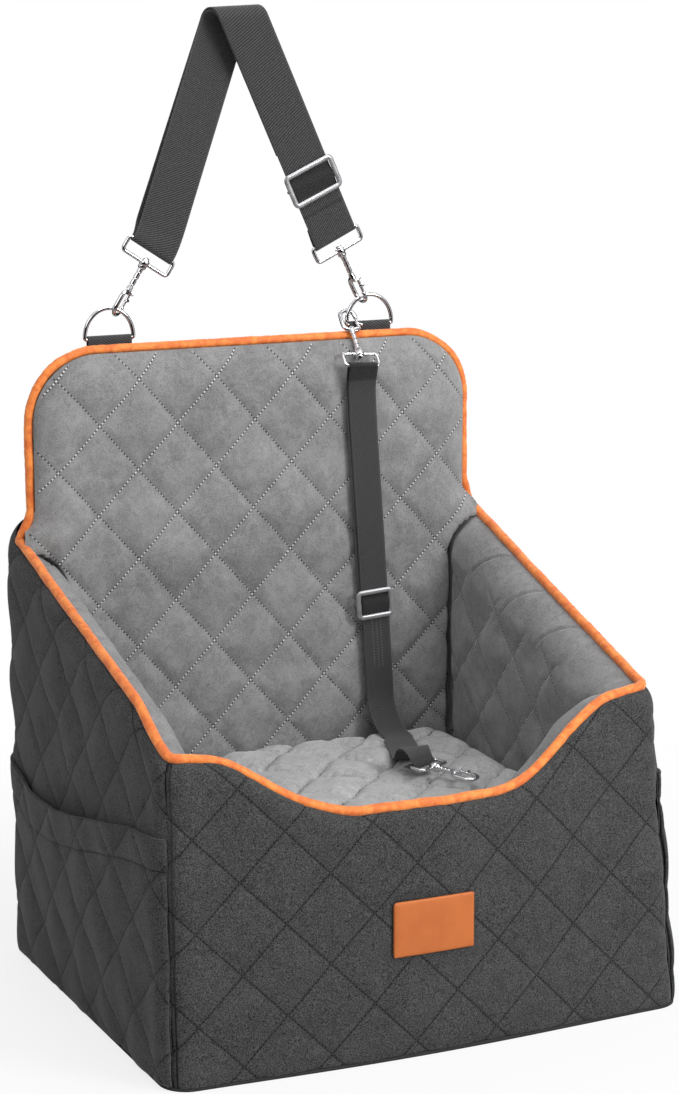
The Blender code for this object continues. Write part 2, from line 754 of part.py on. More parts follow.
def build_cushion():
    """The loose seat cushion: flat below, crowned above, with sewn diamond channels."""
    across = 6 * CUSHION_DIAMONDS_ACROSS
    deep = 6 * CUSHION_DIAMONDS_DEEP
    bottom = SEAT_DECK_HEIGHT + GAP
    crown = CUSHION_HEIGHT - CUSHION_EDGE_HEIGHT
    top_rows = []
    for r in range(deep + 1):
        row = []
        for c in range(across + 1):
            u, v = 2 * c / across - 1, 2 * r / deep - 1
            x, y = cushion_point(u, v)
            width = FRONT_RIM_HALF_WIDTH - WALL_THICKNESS
            edge = min((1 - abs(u)) * width, (1 - abs(v)) * width)
            share = min(1.0, edge / CUSHION_EDGE_ROUND)
            rise = math.sqrt(1 - (1 - share) ** 2)
            first = c / 6 + r / 6
            second = c / 6 - r / 6
            puff = abs(math.sin(math.pi * first) * math.sin(math.pi * second)) ** 0.5
            height = CUSHION_EDGE_HEIGHT + crown * rise - CUSHION_CHANNEL * share * (1 - puff)
            row.append(Vector((x, y, height)))
        top_rows.append(row)
    rows, columns = deep + 1, across + 1
    verts = [p for row in top_rows for p in row]
    faces = []
    for r in range(rows - 1):
        for c in range(columns - 1):
            a = r * columns + c
            faces.append((a, a + 1, a + columns + 1, a + columns))
    edge = [c for c in range(columns)]
    edge += [r * columns + columns - 1 for r in range(1, rows)]
    edge += [(rows - 1) * columns + c for c in range(columns - 2, -1, -1)]
    edge += [r * columns for r in range(rows - 2, 0, -1)]
    centre = Vector((0, verts[edge[0]].y / 2 + verts[edge[-1]].y / 2, 0))
    start = len(verts)
    for i in edge:
        p = verts[i]
        toward = Vector((centre.x - p.x, centre.y - p.y, 0)).normalized()
        foot = p + toward * CUSHION_PULL_IN
        verts.append(Vector((foot.x, foot.y, bottom)))
    count = len(edge)
    for i in range(count):
        j = (i + 1) % count
        faces.append((edge[i], edge[j], start + j, start + i))
    faces.append(tuple(range(start, start + count)))
    mesh_object("seat_cushion", verts, faces, "grey_velvet")


# Pockets and label

POCKET_UP_SHARES = (0.0, 0.25, 0.5, 0.75, 1.0)


def build_pockets():
    """A shell of cloth on each side, sewn down at its ends and its foot, open above."""
    seam = COVER_SEAM_SHARE + 3 * COVER_SEAM_GAP_SHARE
    stations = [("corner", share) for share in (seam, 0.5, 2 / 3, 5 / 6, 1.0)]
    stations += [("side", share) for share in (0.12, 0.26, 0.4, 0.55, 0.7, 0.85, 1.0)]
    stations += [("rear", share) for share in (0.25, 0.5, 0.75)]
    last = len(stations) - 1
    for word, side in (("left", -1), ("right", 1)):
        pairs = []
        for i, station in enumerate(stations):
            along = i / last
            ends = math.sin(math.pi * along) ** 1.4 if 0 < along < 1 else 0.0
            dip = smooth(along / 0.7) if along < 0.7 else 1.0
            hem = lerp(POCKET_FRONT_HEIGHT, POCKET_LOW_HEIGHT, dip)
            hem = lerp(hem, POCKET_REAR_HEIGHT, smooth((along - 0.75) / 0.25))
            outer, inner = [], []
            for up in POCKET_UP_SHARES:
                z = lerp(BOTTOM_Z, hem, up)
                off = GAP + POCKET_STAND_OFF * ends * math.sin(math.pi / 2 * up)
                inner.append(plan(station, z, -off))
                outer.append(plan(station, z, -off - POCKET_CLOTH))
            pairs.append((turned_over(outer, side), turned_over(inner, side)))
        loft(f"{word}_pocket", pairs, "dark_velvet")


def build_label():
    """A bare patch on the bowed front."""
    columns = 8
    rows_share = (0.0, 0.06, 0.5, 0.94, 1.0)
    pairs = []
    for c in range(columns + 1):
        x = LABEL_WIDTH * (c / columns - 0.5)
        cut = LABEL_CORNER if c in (0, columns) else 0.0
        low = LABEL_CENTRE_HEIGHT - LABEL_HEIGHT / 2 + cut
        high = LABEL_CENTRE_HEIGHT + LABEL_HEIGHT / 2 - cut
        outer, inner = [], []
        for share in rows_share:
            z = lerp(low, high, share)
            y = front_face(x, z) - GAP
            inner.append(Vector((x, y - GAP, z)))
            outer.append(Vector((x, y - GAP - LABEL_THICKNESS, z)))
        pairs.append((outer, inner))
    loft("label_patch", pairs, "orange_leather")


# Rings and tabs

RING_Y = PANEL_Y + PIPING_RADIUS + GAP + TAB_WEB + GAP + RING_WIRE / 2
RING_ARC_STEPS = 16


def ring_arc(angle):
    """Offset of the ring's wire from the middle of its bar, at an angle round its arch."""
    half = RING_WIDTH / 2
    return Vector((half * math.cos(angle), 0, RING_FOOT + (RING_RISE - RING_FOOT) * math.sin(angle)))


def ring_centre(side):
    return Vector((side * RING_SPACING / 2 + RING_SHIFT, RING_Y, RING_BAR_HEIGHT))


def build_rings():
    """A D-ring on each side, its bar in the fold of a webbing tab."""
    for word, side in (("left", -1), ("right", 1)):
        centre = ring_centre(side)
        points = [ring_arc(math.pi * i / RING_ARC_STEPS) for i in range(RING_ARC_STEPS + 1)]
        foot = RING_WIDTH / 2 - RING_FOOT
        for turn in (0.3, 0.7):
            low = RING_FOOT * (1 - math.sin(math.pi / 2 * turn))
            out = foot + RING_FOOT * math.cos(math.pi / 2 * turn)
            points.append(Vector((-out, 0, low)))
        points += [Vector((-foot, 0, 0)), Vector((foot, 0, 0))]
        for turn in (0.7, 0.3):
            low = RING_FOOT * (1 - math.sin(math.pi / 2 * turn))
            out = foot + RING_FOOT * math.cos(math.pi / 2 * turn)
            points.append(Vector((out, 0, low)))
        ring = wire(f"{word}_d_ring", points, RING_WIRE / 2, "steel", cyclic=True)
        ring.location = centre
        around = RING_WIRE / 2 + GAP + TAB_WEB / 2
        half = Vector((TAB_WIDTH / 2, 0, 0))
        stations = []
        steps = 8
        for i in range(steps + 1):
            angle = math.pi * i / steps
            normal = Vector((0, -math.cos(angle), math.sin(angle)))
            stations.append((centre + normal * around, half, normal))
        for sign in (-1, 1):
            y = RING_Y + sign * around
            span = y + TAB_WEB / 2 - PANEL_Y
            share = max(0.0, 1 - (span / PANEL_REAR_HALF) ** 2)
            foot_z = PANEL_HEIGHT - PANEL_EDGE_ROUND * (1 - math.sqrt(share)) + 4 * GAP
            station = (Vector((centre.x, y, foot_z)), half, Vector((0, sign, 0)))
            stations.insert(0 if sign < 0 else len(stations), station)
        ribbon(f"{word}_ring_tab", stations, TAB_WEB, "black_webbing")


# Snap hooks
# Each is built about the ring wire that its bow holds, with +Z towards its eye, then placed.


def build_hook(prefix, place, turn, reach, eye_width, eye_height, eye_wire):
    """Eye, body and gate of a swivel snap hook; turn is the body's swivel in the eye."""
    near = reach - eye_height
    half = eye_width / 2
    bend = eye_wire * 0.9
    corners = []
    for sx, sz, start in ((1, 1, 0), (-1, 1, 90), (-1, -1, 180), (1, -1, 270)):
        for step in range(4):
            angle = math.radians(start + 30 * step)
            x = sx * (half - bend) + bend * math.cos(angle)
            z = near + eye_height / 2 + sz * (eye_height / 2 - bend) + bend * math.sin(angle)
            corners.append(Vector((x, 0, z)))
    eye = to_mesh(wire(f"{prefix}_eye", corners, eye_wire / 2, "steel", cyclic=True))
    boss = turned(
        f"{prefix}_boss",
        [
            (0, near + BOSS_HALF),
            (BOSS_RADIUS, near + BOSS_HALF),
            (BOSS_RADIUS, near - BOSS_HALF),
            (0, near - BOSS_HALF),
        ],
        "steel",
    )
    eye = boolean(eye, boss, "UNION")
    bore_radius = STUD_RADIUS + GAP
    overrun = BOSS_HALF + GAP
    bore = turned(
        f"{prefix}_bore",
        [
            (0, near + overrun),
            (bore_radius, near + overrun),
            (bore_radius, near - overrun),
            (0, near - overrun),
        ],
        "steel",
    )
    eye = boolean(eye, bore, "DIFFERENCE")
    eye.name = f"{prefix}_eye"
    eye.matrix_world = place

    collar_top = near - BOSS_HALF - GAP
    head_low = near + BOSS_HALF + GAP
    knuckle_low = 4 * BOW_WIRE
    knuckle_high = knuckle_low + BOW_WIRE
    groove = SHANK_RADIUS - STUD_RADIUS
    profile = [(0, head_low + STUD_RADIUS), (STUD_HEAD_RADIUS, head_low + STUD_RADIUS)]
    profile += [(STUD_HEAD_RADIUS, head_low), (STUD_RADIUS, head_low)]
    profile += [(STUD_RADIUS, collar_top), (COLLAR_RADIUS, collar_top)]
    profile += [(COLLAR_RADIUS, collar_top - STUD_RADIUS), (SHANK_RADIUS, collar_top - 2 * STUD_RADIUS)]
    shank = collar_top - 2 * STUD_RADIUS - knuckle_high
    grooves = 3
    for g in range(grooves):
        z = collar_top - 2 * STUD_RADIUS - shank * (g + 0.7) / (grooves + 0.5)
        profile += [(SHANK_RADIUS, z + groove), (SHANK_RADIUS - groove / 2, z), (SHANK_RADIUS, z - groove)]
    profile += [(SHANK_RADIUS * 1.2, knuckle_high), (SHANK_RADIUS * 1.2, knuckle_low), (0, knuckle_low)]
    body = to_mesh(turned(f"{prefix}_body", profile, "steel"))
    top = -(RING_WIRE / 2 + HOOK_PLAY + BOW_WIRE / 2)
    limb = BOW_HALF_WIDTH
    bow = [Vector((0, 0, knuckle_low + BOW_WIRE * 0.7))]
    bow.append(Vector((-limb * 0.7, 0, knuckle_low + BOW_WIRE * 0.4)))
    bow.append(Vector((-limb, 0, knuckle_low - BOW_WIRE * 0.6)))
    arc_z = top + limb
    arc_steps = 8
    for i in range(arc_steps + 1):
        angle = math.pi + math.pi * i / arc_steps
        bow.append(Vector((limb * math.cos(angle), 0, arc_z + limb * math.sin(angle))))
    bow.append(Vector((limb, 0, arc_z + BOW_WIRE * 0.3)))
    body = boolean(body, to_mesh(wire(f"{prefix}_bow", bow, BOW_WIRE / 2, "steel")), "UNION")
    pivot_z = knuckle_low + BOW_WIRE * 0.5
    ear = [Vector((0, 0, pivot_z)), Vector((limb + PIN_RADIUS, 0, pivot_z))]
    body = boolean(body, to_mesh(wire(f"{prefix}_ear", ear, BOW_WIRE * 0.55, "steel")), "UNION")
    slot_half = GATE_WIRE / 2 + GAP
    slot = mesh_object(
        f"{prefix}_slot",
        [
            Vector((limb + sx * GATE_WIRE * 0.9, sy * slot_half, pivot_z + sz * BOW_WIRE))
            for sx in (-1, 1.6)
            for sy in (-1, 1)
            for sz in (-1, 1)
        ],
        [(0, 1, 3, 2), (4, 6, 7, 5), (0, 4, 5, 1), (2, 3, 7, 6), (0, 2, 6, 4), (1, 5, 7, 3)],
        "steel",
    )
    body = boolean(body, slot, "DIFFERENCE")
    swivel = Matrix.Rotation(turn, 4, "Z")
    body.name = f"{prefix}_body"
    body.matrix_world = place @ swivel

    gate_top = arc_z + BOW_WIRE * 0.3 + GAP + BOW_WIRE / 2 * 0.2
    drop = gate_top + GAP - pivot_z
    gate_line = [Vector((0, 0, 0)), Vector((GAP, 0, drop / 2)), Vector((0, 0, drop))]
    gate = to_mesh(wire(f"{prefix}_gate", gate_line, GATE_WIRE / 2, "steel"))
    nub_line = [gate_line[1], gate_line[1] + Vector((GATE_WIRE * 1.7, 0, GATE_WIRE * 0.3))]
    nub = to_mesh(wire(f"{prefix}_nub", nub_line, GATE_WIRE * 0.55, "steel"))
    gate = boolean(gate, nub, "UNION")
    gate.name = f"{prefix}_gate"
    gate.matrix_world = place @ swivel @ Matrix.Translation((limb, 0, pivot_z))
    pivot, axis = gate.matrix_world.translation, gate.matrix_world.col[1][:3]
    print(prefix, "gate pivot", tuple(pivot), "axis", tuple(axis))
    return place @ Vector((0, 0, reach))


def frame_along(origin, toward_eye, across):
    """A placing matrix with Z towards the eye and X as near as can be to across."""
    z_axis = toward_eye.normalized()
    x_axis = (across - z_axis * across.dot(z_axis)).normalized()
    y_axis = z_axis.cross(x_axis)
    made = Matrix((x_axis, y_axis, z_axis)).transposed().to_4x4()
    made.translation = origin
    return made


def lean_vector(lean):
    """Upward unit vector in the strap's plane, leaning towards +X."""
    return Vector((math.sin(lean), 0, math.cos(lean)))


def across_vector(lean):
    return Vector((math.cos(lean), 0, -math.sin(lean)))


def wire_contact(side):
    """Middle of the ring's wire where an upper hook hangs."""
    angle = math.acos(HOOK_OFFSET / (RING_WIDTH / 2))
    arc = ring_arc(angle)
    return ring_centre(side) + Vector((-side * arc.x, 0, arc.z))


LEFT_HOOK_TURN = math.radians(48)
RIGHT_HOOK_TURN = math.radians(-80)


def build_strap_hooks():
    ends = {}
    for word, side, lean, turn in (
        ("left", -1, LEFT_HOOK_LEAN, LEFT_HOOK_TURN),
        ("right", 1, -RIGHT_HOOK_LEAN, RIGHT_HOOK_TURN),
    ):
        contact = wire_contact(side)
        place = frame_along(contact, lean_vector(lean), across_vector(lean))
        bar = build_hook(
            f"{word}_hook", place, turn, STRAP_HOOK_REACH, STRAP_EYE_WIDTH, STRAP_EYE_HEIGHT, STRAP_EYE_WIRE
        )
        ends[word] = (contact, bar)
        print(word, "hook contact", tuple(contact))
    return ends


# Headrest strap


def eased_end(bar, lean_at_bar, lean, steps=4):
    """Middles and leans of the strap from an eye's bar up to where it runs straight."""
    points, leans = [bar.copy()], [lean_at_bar]
    for i in range(1, steps + 1):
        now = lerp(lean_at_bar, lean, i / steps)
        before = lerp(lean_at_bar, lean, (i - 0.5) / steps)
        points.append(points[-1] + lean_vector(before) * (STRAP_EASE / steps))
        leans.append(now)
    return points, leans


def build_strap(ends):
    """One length of webbing: over the turn, round the left eye, back under itself to the tri-glide."""
    tilt = Matrix.Rotation(-STRAP_TILT, 4, "Y")
    left_bar = tilt.inverted() @ ends["left"][1]
    right_bar = tilt.inverted() @ ends["right"][1]
    left_lean = LEFT_HOOK_LEAN + STRAP_TILT
    right_lean = STRAP_TILT - RIGHT_HOOK_LEAN
    left, left_leans = eased_end(left_bar, left_lean, STRAP_LEAN)
    right, right_leans = eased_end(right_bar, right_lean, -STRAP_LEAN)
    slope = math.tan(STRAP_LEAN)
    start, finish = left[-1], right[-1]
    turn_length = math.pi * STRAP_TURN_RADIUS
    turn_z = ((finish.x - start.x) / slope - turn_length + start.z + finish.z) / 2
    half = STRAP_WIDTH / 2
    level = Vector((half / math.cos(STRAP_LEAN), 0, 0))
    layer = STRAP_WEB + STRAP_LAYER_GAP
    bar_clear = STRAP_EYE_WIRE / 2 + GAP + STRAP_WEB / 2
    hook_y = RING_Y

    def strand(points, leans, way, apart, radius, sag):
        """Stations up a strand, on one side of the middle plane (way +1 is the rear)."""
        found = []
        for i, (point, lean) in enumerate(zip(points, leans)):
            share = i / (len(points) - 1)
            y = hook_y + lerp(apart, apart + sag, smooth(share))
            found.append((Vector((point.x, y, point.z)), across_vector(lean) * half, Vector((0, way, 0))))
        foot_y = found[-1][0].y
        top_y = hook_y + way * radius
        steps = 6
        for i in range(1, steps + 1):
            share = i / steps
            z = lerp(points[-1].z, turn_z, share)
            x = points[-1].x + (slope if points is left else -slope) * (z - points[-1].z)
            width = across_vector(leans[-1]) * half
            mixed = width.lerp(level, smooth(share * 1.5))
            found.append((Vector((x, lerp(foot_y, top_y, share), z)), mixed, Vector((0, way, 0))))
        return found

    def over_top(radius):
        """Stations over the turn, rear to front."""
        found = []
        steps = 8
        for i in range(1, steps):
            angle = math.pi * i / steps
            x = left[-1].x + slope * (turn_z - left[-1].z) + slope * STRAP_TURN_RADIUS * angle
            normal = Vector((0, math.cos(angle), math.sin(angle)))
            middle = Vector((x, hook_y + radius * math.cos(angle), turn_z + radius * math.sin(angle)))
            found.append((middle, level, normal))
        return found

    def round_bar(bar, lean, steps=6):
        """Stations round an eye's bar, from its rear to its front, under the bar."""
        found = []
        up = lean_vector(lean)
        for i in range(steps + 1):
            angle = math.pi * i / steps
            normal = Vector((0, math.cos(angle), 0)) - up * math.sin(angle)
            found.append((bar + normal * bar_clear, across_vector(lean) * half, normal))
        return found

    outer, inner = STRAP_TURN_RADIUS + layer, STRAP_TURN_RADIUS
    left_rear = strand(left, left_leans, 1, bar_clear, outer, STRAP_REAR_SAG)
    left_front = strand(left, left_leans, 1, -bar_clear, inner, STRAP_FRONT_SAG)
    right_front = strand(right, right_leans, -1, -bar_clear, outer, -STRAP_RIGHT_DRAW)
    drawn = layer - 2 * bar_clear - STRAP_RIGHT_DRAW
    right_rear = strand(right, right_leans, -1, bar_clear, inner, drawn)
    glide_z = right_bar.z + STRAP_GLIDE_RISE
    stations = []
    tail = [s for s in right_rear[1:] if s[0].z > glide_z]
    for middle, width, normal in tail:
        stations.append((middle, width, -normal))
    for middle, width, normal in reversed(over_top(inner)):
        stations.append((middle, width, -normal))
    for middle, width, normal in reversed(left_front[1:]):
        stations.append((middle, width, -normal))
    for middle, width, normal in reversed(round_bar(left_bar, left_lean)):
        stations.append((middle, width, normal))
    for middle, width, normal in left_rear[1:]:
        stations.append((middle, width, normal))
    for middle, width, normal in over_top(outer):
        stations.append((middle, width, normal))
    for middle, width, normal in reversed(right_front[1:]):
        stations.append((middle, width, normal))
    for middle, width, normal in reversed(round_bar(right_bar, right_lean)):
        stations.append((middle, width, normal))
    for middle, width, normal in right_rear[1:4]:
        stations.append((middle, width, -normal))
    flat = tilt.to_3x3()
    stations = [(tilt @ middle, flat @ width, flat @ normal) for middle, width, normal in stations]
    ribbon("headrest_strap", stations, STRAP_WEB, "black_webbing")
    print("turn axis height", turn_z)
    top_y = hook_y - outer
    foot_y = hook_y - bar_clear - STRAP_RIGHT_DRAW
    share = (glide_z - finish.z) / (turn_z - finish.z)
    way = Vector((-slope * (turn_z - finish.z), top_y - foot_y, turn_z - finish.z)).normalized()
    glide_x = finish.x - slope * (glide_z - finish.z)
    middle = Vector((glide_x, lerp(foot_y, top_y, share) + layer / 2, glide_z))
    place = tilt @ frame_along(middle, way, across_vector(-STRAP_LEAN))
    print("strap slide from", tuple(place.translation), "along", tuple(place.col[2][:3]))
    build_triglide("strap_triglide", place, STRAP_WIDTH, layer + STRAP_WEB, STRAP_GLIDE_HEIGHT)


def build_triglide(name, place, web_width, web_stack, height):
    """A frame with two end bars before the webbing and a middle bar behind it."""
    half = web_width / 2 + GLIDE_SIDE_GAP + GLIDE_WIRE / 2
    bend = GLIDE_WIRE * 1.2
    tall = height / 2 - GLIDE_WIRE / 2
    front_y = -(web_stack / 2 + GLIDE_END_GAP + GLIDE_WIRE / 2)
    corners = []
    for sx, sz, start in ((1, 1, 0), (-1, 1, 90), (-1, -1, 180), (1, -1, 270)):
        for step in range(4):
            angle = math.radians(start + 30 * step)
            x = sx * (half - bend) + bend * math.cos(angle)
            z = sz * (tall - bend) + bend * math.sin(angle)
            corners.append(Vector((x, front_y, z)))
    frame = to_mesh(wire(name, corners, GLIDE_WIRE / 2, "steel", cyclic=True))
    back_y = -front_y
    turn = bend / 2
    bar = [Vector((-half, front_y, 0)), Vector((-half, back_y - turn, 0)), Vector((-half + turn, back_y, 0))]
    bar += [Vector((-p.x, p.y, p.z)) for p in reversed(bar)]
    frame = boolean(frame, to_mesh(wire(f"{name}_bar", bar, GLIDE_WIRE / 2, "steel")), "UNION")
    frame.name = name
    frame.matrix_world = place
    return frame


def build_tether():
    """Two snap hooks joined by webbing that falls down the back panel and lies on the cushion."""
    arc = ring_arc(TETHER_RING_ANGLE)
    contact = ring_centre(1) + arc
    lean, yaw = TETHER_HOOK_LEAN, TETHER_HOOK_YAW
    way = Vector((-math.sin(yaw), -math.sin(lean) * math.cos(yaw), -math.cos(lean) * math.cos(yaw)))
    room = RING_WIRE / 2 + HOOK_PLAY + BOW_WIRE / 2
    place = frame_along(contact - way * room * (1 / math.sin(lean) - 1), way, Vector((1, 0, 0)))
    eye = (TETHER_EYE_WIDTH, TETHER_EYE_HEIGHT, TETHER_EYE_WIRE)
    bar = build_hook("tether_top", place, 0.0, TETHER_HOOK_REACH, *eye)
    print("tether contact", tuple(contact), "eye bar", tuple(bar))

    end_bar = Vector(END_HOOK_EYE)
    end_way = Vector((math.sin(END_HOOK_YAW), -math.cos(END_HOOK_YAW), 0))
    tip = end_bar + end_way * END_HOOK_REACH - Vector((0, 0, END_HOOK_FALL))
    toward_eye = end_bar - tip
    end_place = frame_along(tip, toward_eye, Vector((-end_way.y, end_way.x, 0)))
    build_hook("tether_end", end_place, 0.0, toward_eye.length, *eye)
    print("tether end tip", tuple(tip), "axis", tuple(toward_eye.normalized()))

    layer = TETHER_WEB + STRAP_LAYER_GAP
    clear = TETHER_EYE_WIRE / 2 + GAP + TETHER_WEB / 2
    half = TETHER_WIDTH / 2
    run_x = bar.x + TETHER_LAYER_SHIFT
    across_eye = place.col[0].to_3d() * half
    down = Vector((TETHER_DRIFT, 0, -1)).normalized()
    across_run = Vector((down.z, 0, -down.x)) * -half

    def on_run(z, y):
        return Vector((run_x + TETHER_DRIFT * (TETHER_RUN_TOP - z), y, z))

    front = Vector((0, -1, 0))
    stations = []
    glide_stop = TETHER_GLIDE_Z
    shift = Vector((-TETHER_LAYER_SHIFT, layer, 0))
    for z in (glide_stop, lerp(glide_stop, TETHER_RUN_TOP, 0.5), TETHER_RUN_TOP):
        stations.append((on_run(z, TETHER_RUN_Y) + shift, across_run, -front))
    for i in range(7):
        angle = math.pi * i / 6
        normal = Vector((0, math.cos(angle), math.sin(angle)))
        stations.append((bar + normal * clear, across_eye, normal))
    for z in (TETHER_RUN_TOP, lerp(TETHER_RUN_TOP, TETHER_RUN_FOOT, 0.5), TETHER_RUN_FOOT):
        stations.append((on_run(z, TETHER_RUN_Y), across_run, front))
    foot = on_run(TETHER_RUN_FOOT, TETHER_RUN_Y)
    floor_z = CUSHION_HEIGHT + GAP + TETHER_WEB / 2 + GAP
    radius = TETHER_RUN_FOOT - floor_z
    for i in range(1, 7):
        angle = math.pi / 2 * i / 6
        y = foot.y - radius * (1 - math.cos(angle))
        z = foot.z - radius * math.sin(angle)
        normal = Vector((0, -math.cos(angle), math.sin(angle)))
        stations.append((Vector((foot.x, y, z)), Vector((half, 0, 0)), normal))
    start = stations[-1][0]
    bar_way = Vector((-end_way.y, end_way.x, 0))
    path = [start]
    steps = 12
    for i in range(1, steps + 1):
        share = i / steps
        x = lerp(start.x, end_bar.x, smooth(0.15 + 0.85 * share))
        y = lerp(start.y, end_bar.y, share)
        hump = TETHER_HUMP * math.sin(math.pi * min(1.0, max(0.0, (share - 0.6) / 0.4)))
        path.append(Vector((x, y, lerp(floor_z, end_bar.z + clear, smooth((share - 0.6) / 0.4)) + hump)))
    for i in range(1, steps + 1):
        ahead = path[min(i + 1, steps)] - path[i - 1] if i < steps else end_way
        flat = Vector((ahead.x, ahead.y, 0)).normalized()
        wide = Vector((-flat.y, flat.x, 0)).lerp(bar_way, smooth((i / steps - 0.7) / 0.3)).normalized()
        stations.append((path[i], wide * half, ahead.cross(wide).normalized()))
    for i in range(1, 7):
        angle = math.pi * i / 6
        normal = end_way * math.sin(angle) + Vector((0, 0, math.cos(angle)))
        stations.append((end_bar + normal * clear, bar_way * half, normal))
    last = stations[-1][0]
    for share in (0.5, 1.0):
        stations.append((last - end_way * TETHER_TAIL * share, bar_way * half, Vector((0, 0, -1))))
    ribbon("tether_webbing", stations, TETHER_WEB, "black_webbing")
    glide_middle = on_run(glide_stop, TETHER_RUN_Y) + shift / 2
    glide_place = frame_along(glide_middle, -down, Vector((1, 0, 0)))
    stack = layer + TETHER_WEB
    wide = TETHER_WIDTH + TETHER_LAYER_SHIFT
    build_triglide("tether_triglide", glide_place, wide, stack, TETHER_GLIDE_HEIGHT)
    print("tether slide from", tuple(glide_middle), "along", tuple(-down))
    return contact, end_place


def hold(name, point, *children):
    """An empty on a joint's axis, which the joint's pieces hang from."""
    made = bpy.data.objects.new(f"{name}_joint", None)
    SEAT.objects.link(made)
    made.location = point
    bpy.context.view_layer.update()
    for child in children:
        obj = bpy.data.objects[child]
        obj.parent = made
        obj.matrix_parent_inverse = made.matrix_world.inverted()
    print("joint", name, tuple(point))


def main():
    build_walls()
    build_back()
    build_piping()
    build_base()
    build_cushion()
    build_pockets()
    build_label()
    settle_walls()
    build_rings()
    ends = build_strap_hooks()
    build_strap(ends)
    contact, end_place = build_tether()
    axis = Vector((0, ends["left"][0].y, ends["left"][0].z))
    eyes = [f"{word}_hook_{piece}" for word in ("left", "right") for piece in ("eye", "body")]
    hold("strap", axis, "headrest_strap", *eyes)
    hold("tether", contact, "tether_webbing", "tether_top_eye", "tether_top_body", "tether_end_eye")
    hold("tether_end", end_place.translation, "tether_end_body")


main()
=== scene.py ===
from math import acos, copysign, cos, pi, radians, sin, sqrt, tan

import bpy
import numpy as np
from mathutils import Matrix, Vector


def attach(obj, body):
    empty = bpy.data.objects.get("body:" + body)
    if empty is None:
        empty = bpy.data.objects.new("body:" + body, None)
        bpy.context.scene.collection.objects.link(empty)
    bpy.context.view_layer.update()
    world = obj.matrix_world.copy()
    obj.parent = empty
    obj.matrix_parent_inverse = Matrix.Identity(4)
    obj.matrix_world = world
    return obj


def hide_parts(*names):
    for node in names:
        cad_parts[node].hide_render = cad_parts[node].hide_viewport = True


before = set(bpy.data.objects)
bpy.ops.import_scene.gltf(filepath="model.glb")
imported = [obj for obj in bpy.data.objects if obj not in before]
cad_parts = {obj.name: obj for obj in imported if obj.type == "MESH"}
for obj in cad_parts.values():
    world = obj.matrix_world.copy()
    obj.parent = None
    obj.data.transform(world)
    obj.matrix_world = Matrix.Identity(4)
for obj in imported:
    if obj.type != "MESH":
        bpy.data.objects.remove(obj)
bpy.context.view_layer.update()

scene = bpy.context.scene


# Shader groups
# Stitching, velvet and webbing each have one group, which the pieces' own materials use.
# Sewn lines are 59 mm apart.

LINE_SPACING = 59.0
FLOAT, VECTOR, COLOUR = "NodeSocketFloat", "NodeSocketVector", "NodeSocketColor"


class Signal:
    """A shader value, whose arithmetic adds Math nodes to the tree that it is in."""

    def __init__(self, socket):
        self.socket, self.tree = socket, socket.id_data

    def into(self, socket):
        self.tree.links.new(self.socket, socket)

    def __add__(self, other):
        return calc("ADD", self, other)

    def __sub__(self, other):
        return calc("SUBTRACT", self, other)

    def __rsub__(self, other):
        return calc("SUBTRACT", other, self)

    def __mul__(self, other):
        return calc("MULTIPLY", self, other)

    def __truediv__(self, other):
        return calc("DIVIDE", self, other)


def node_of(kind, values, sockets=range(5), **settings):
    """A node fed with the values, in the tree of the signals among them."""
    node = next(value.tree for value in values if isinstance(value, Signal)).nodes.new(kind)
    for word, setting in settings.items():
        setattr(node, word, setting)
    for socket, value in zip(sockets, values):
        if isinstance(value, Signal):
            value.into(node.inputs[socket])
        else:
            node.inputs[socket].default_value = value
    return node


def calc(operation, *values, clamp=False):
    return Signal(node_of("ShaderNodeMath", values, operation=operation, use_clamp=clamp).outputs[0])


def fold(value):
    """Distance to the nearest whole number."""
    return calc("PINGPONG", value, 0.5)


def ramp(value, low, high, start=0.0, end=1.0):
    values = (value, low, high, start, end)
    return Signal(node_of("ShaderNodeMapRange", values, interpolation_type="SMOOTHSTEP").outputs[0])


def fall(value, low, high):
    return ramp(value, low, high, 1.0, 0.0)


def noise(where, scale, detail=3.0, rough=0.5, warp=0.0):
    words = ("Vector", "Scale", "Detail", "Roughness", "Distortion")
    return Signal(node_of("ShaderNodeTexNoise", (where, scale, detail, rough, warp), words).outputs["Fac"])


def cell_noise(where, scale, scatter=1.0):
    words = ("Vector", "Scale", "Randomness")
    return Signal(node_of("ShaderNodeTexVoronoi", (where, scale, scatter), words).outputs["Distance"])


def mix(share, first, second, blend="MIX"):
    values = (share, first, second)
    return Signal(node_of("ShaderNodeMix", values, (0, 6, 7), data_type="RGBA", blend_type=blend).outputs[2])


def split(vector):
    return [Signal(socket) for socket in node_of("ShaderNodeSeparateXYZ", (vector,)).outputs]


def coordinates(tree, kind="Object"):
    return Signal(tree.nodes.new("ShaderNodeTexCoord").outputs[kind])


def new_group(name, inputs, outputs):
    group = bpy.data.node_groups.new(name, "ShaderNodeTree")
    for word, kind, value in inputs:
        socket = group.interface.new_socket(word, in_out="INPUT", socket_type=kind)
        if value is not None:
            socket.default_value = value
    for word, kind in outputs:
        group.interface.new_socket(word, in_out="OUTPUT", socket_type=kind)
    given = {socket.name: Signal(socket) for socket in group.nodes.new("NodeGroupInput").outputs}
    return group, given, group.nodes.new("NodeGroupOutput").inputs


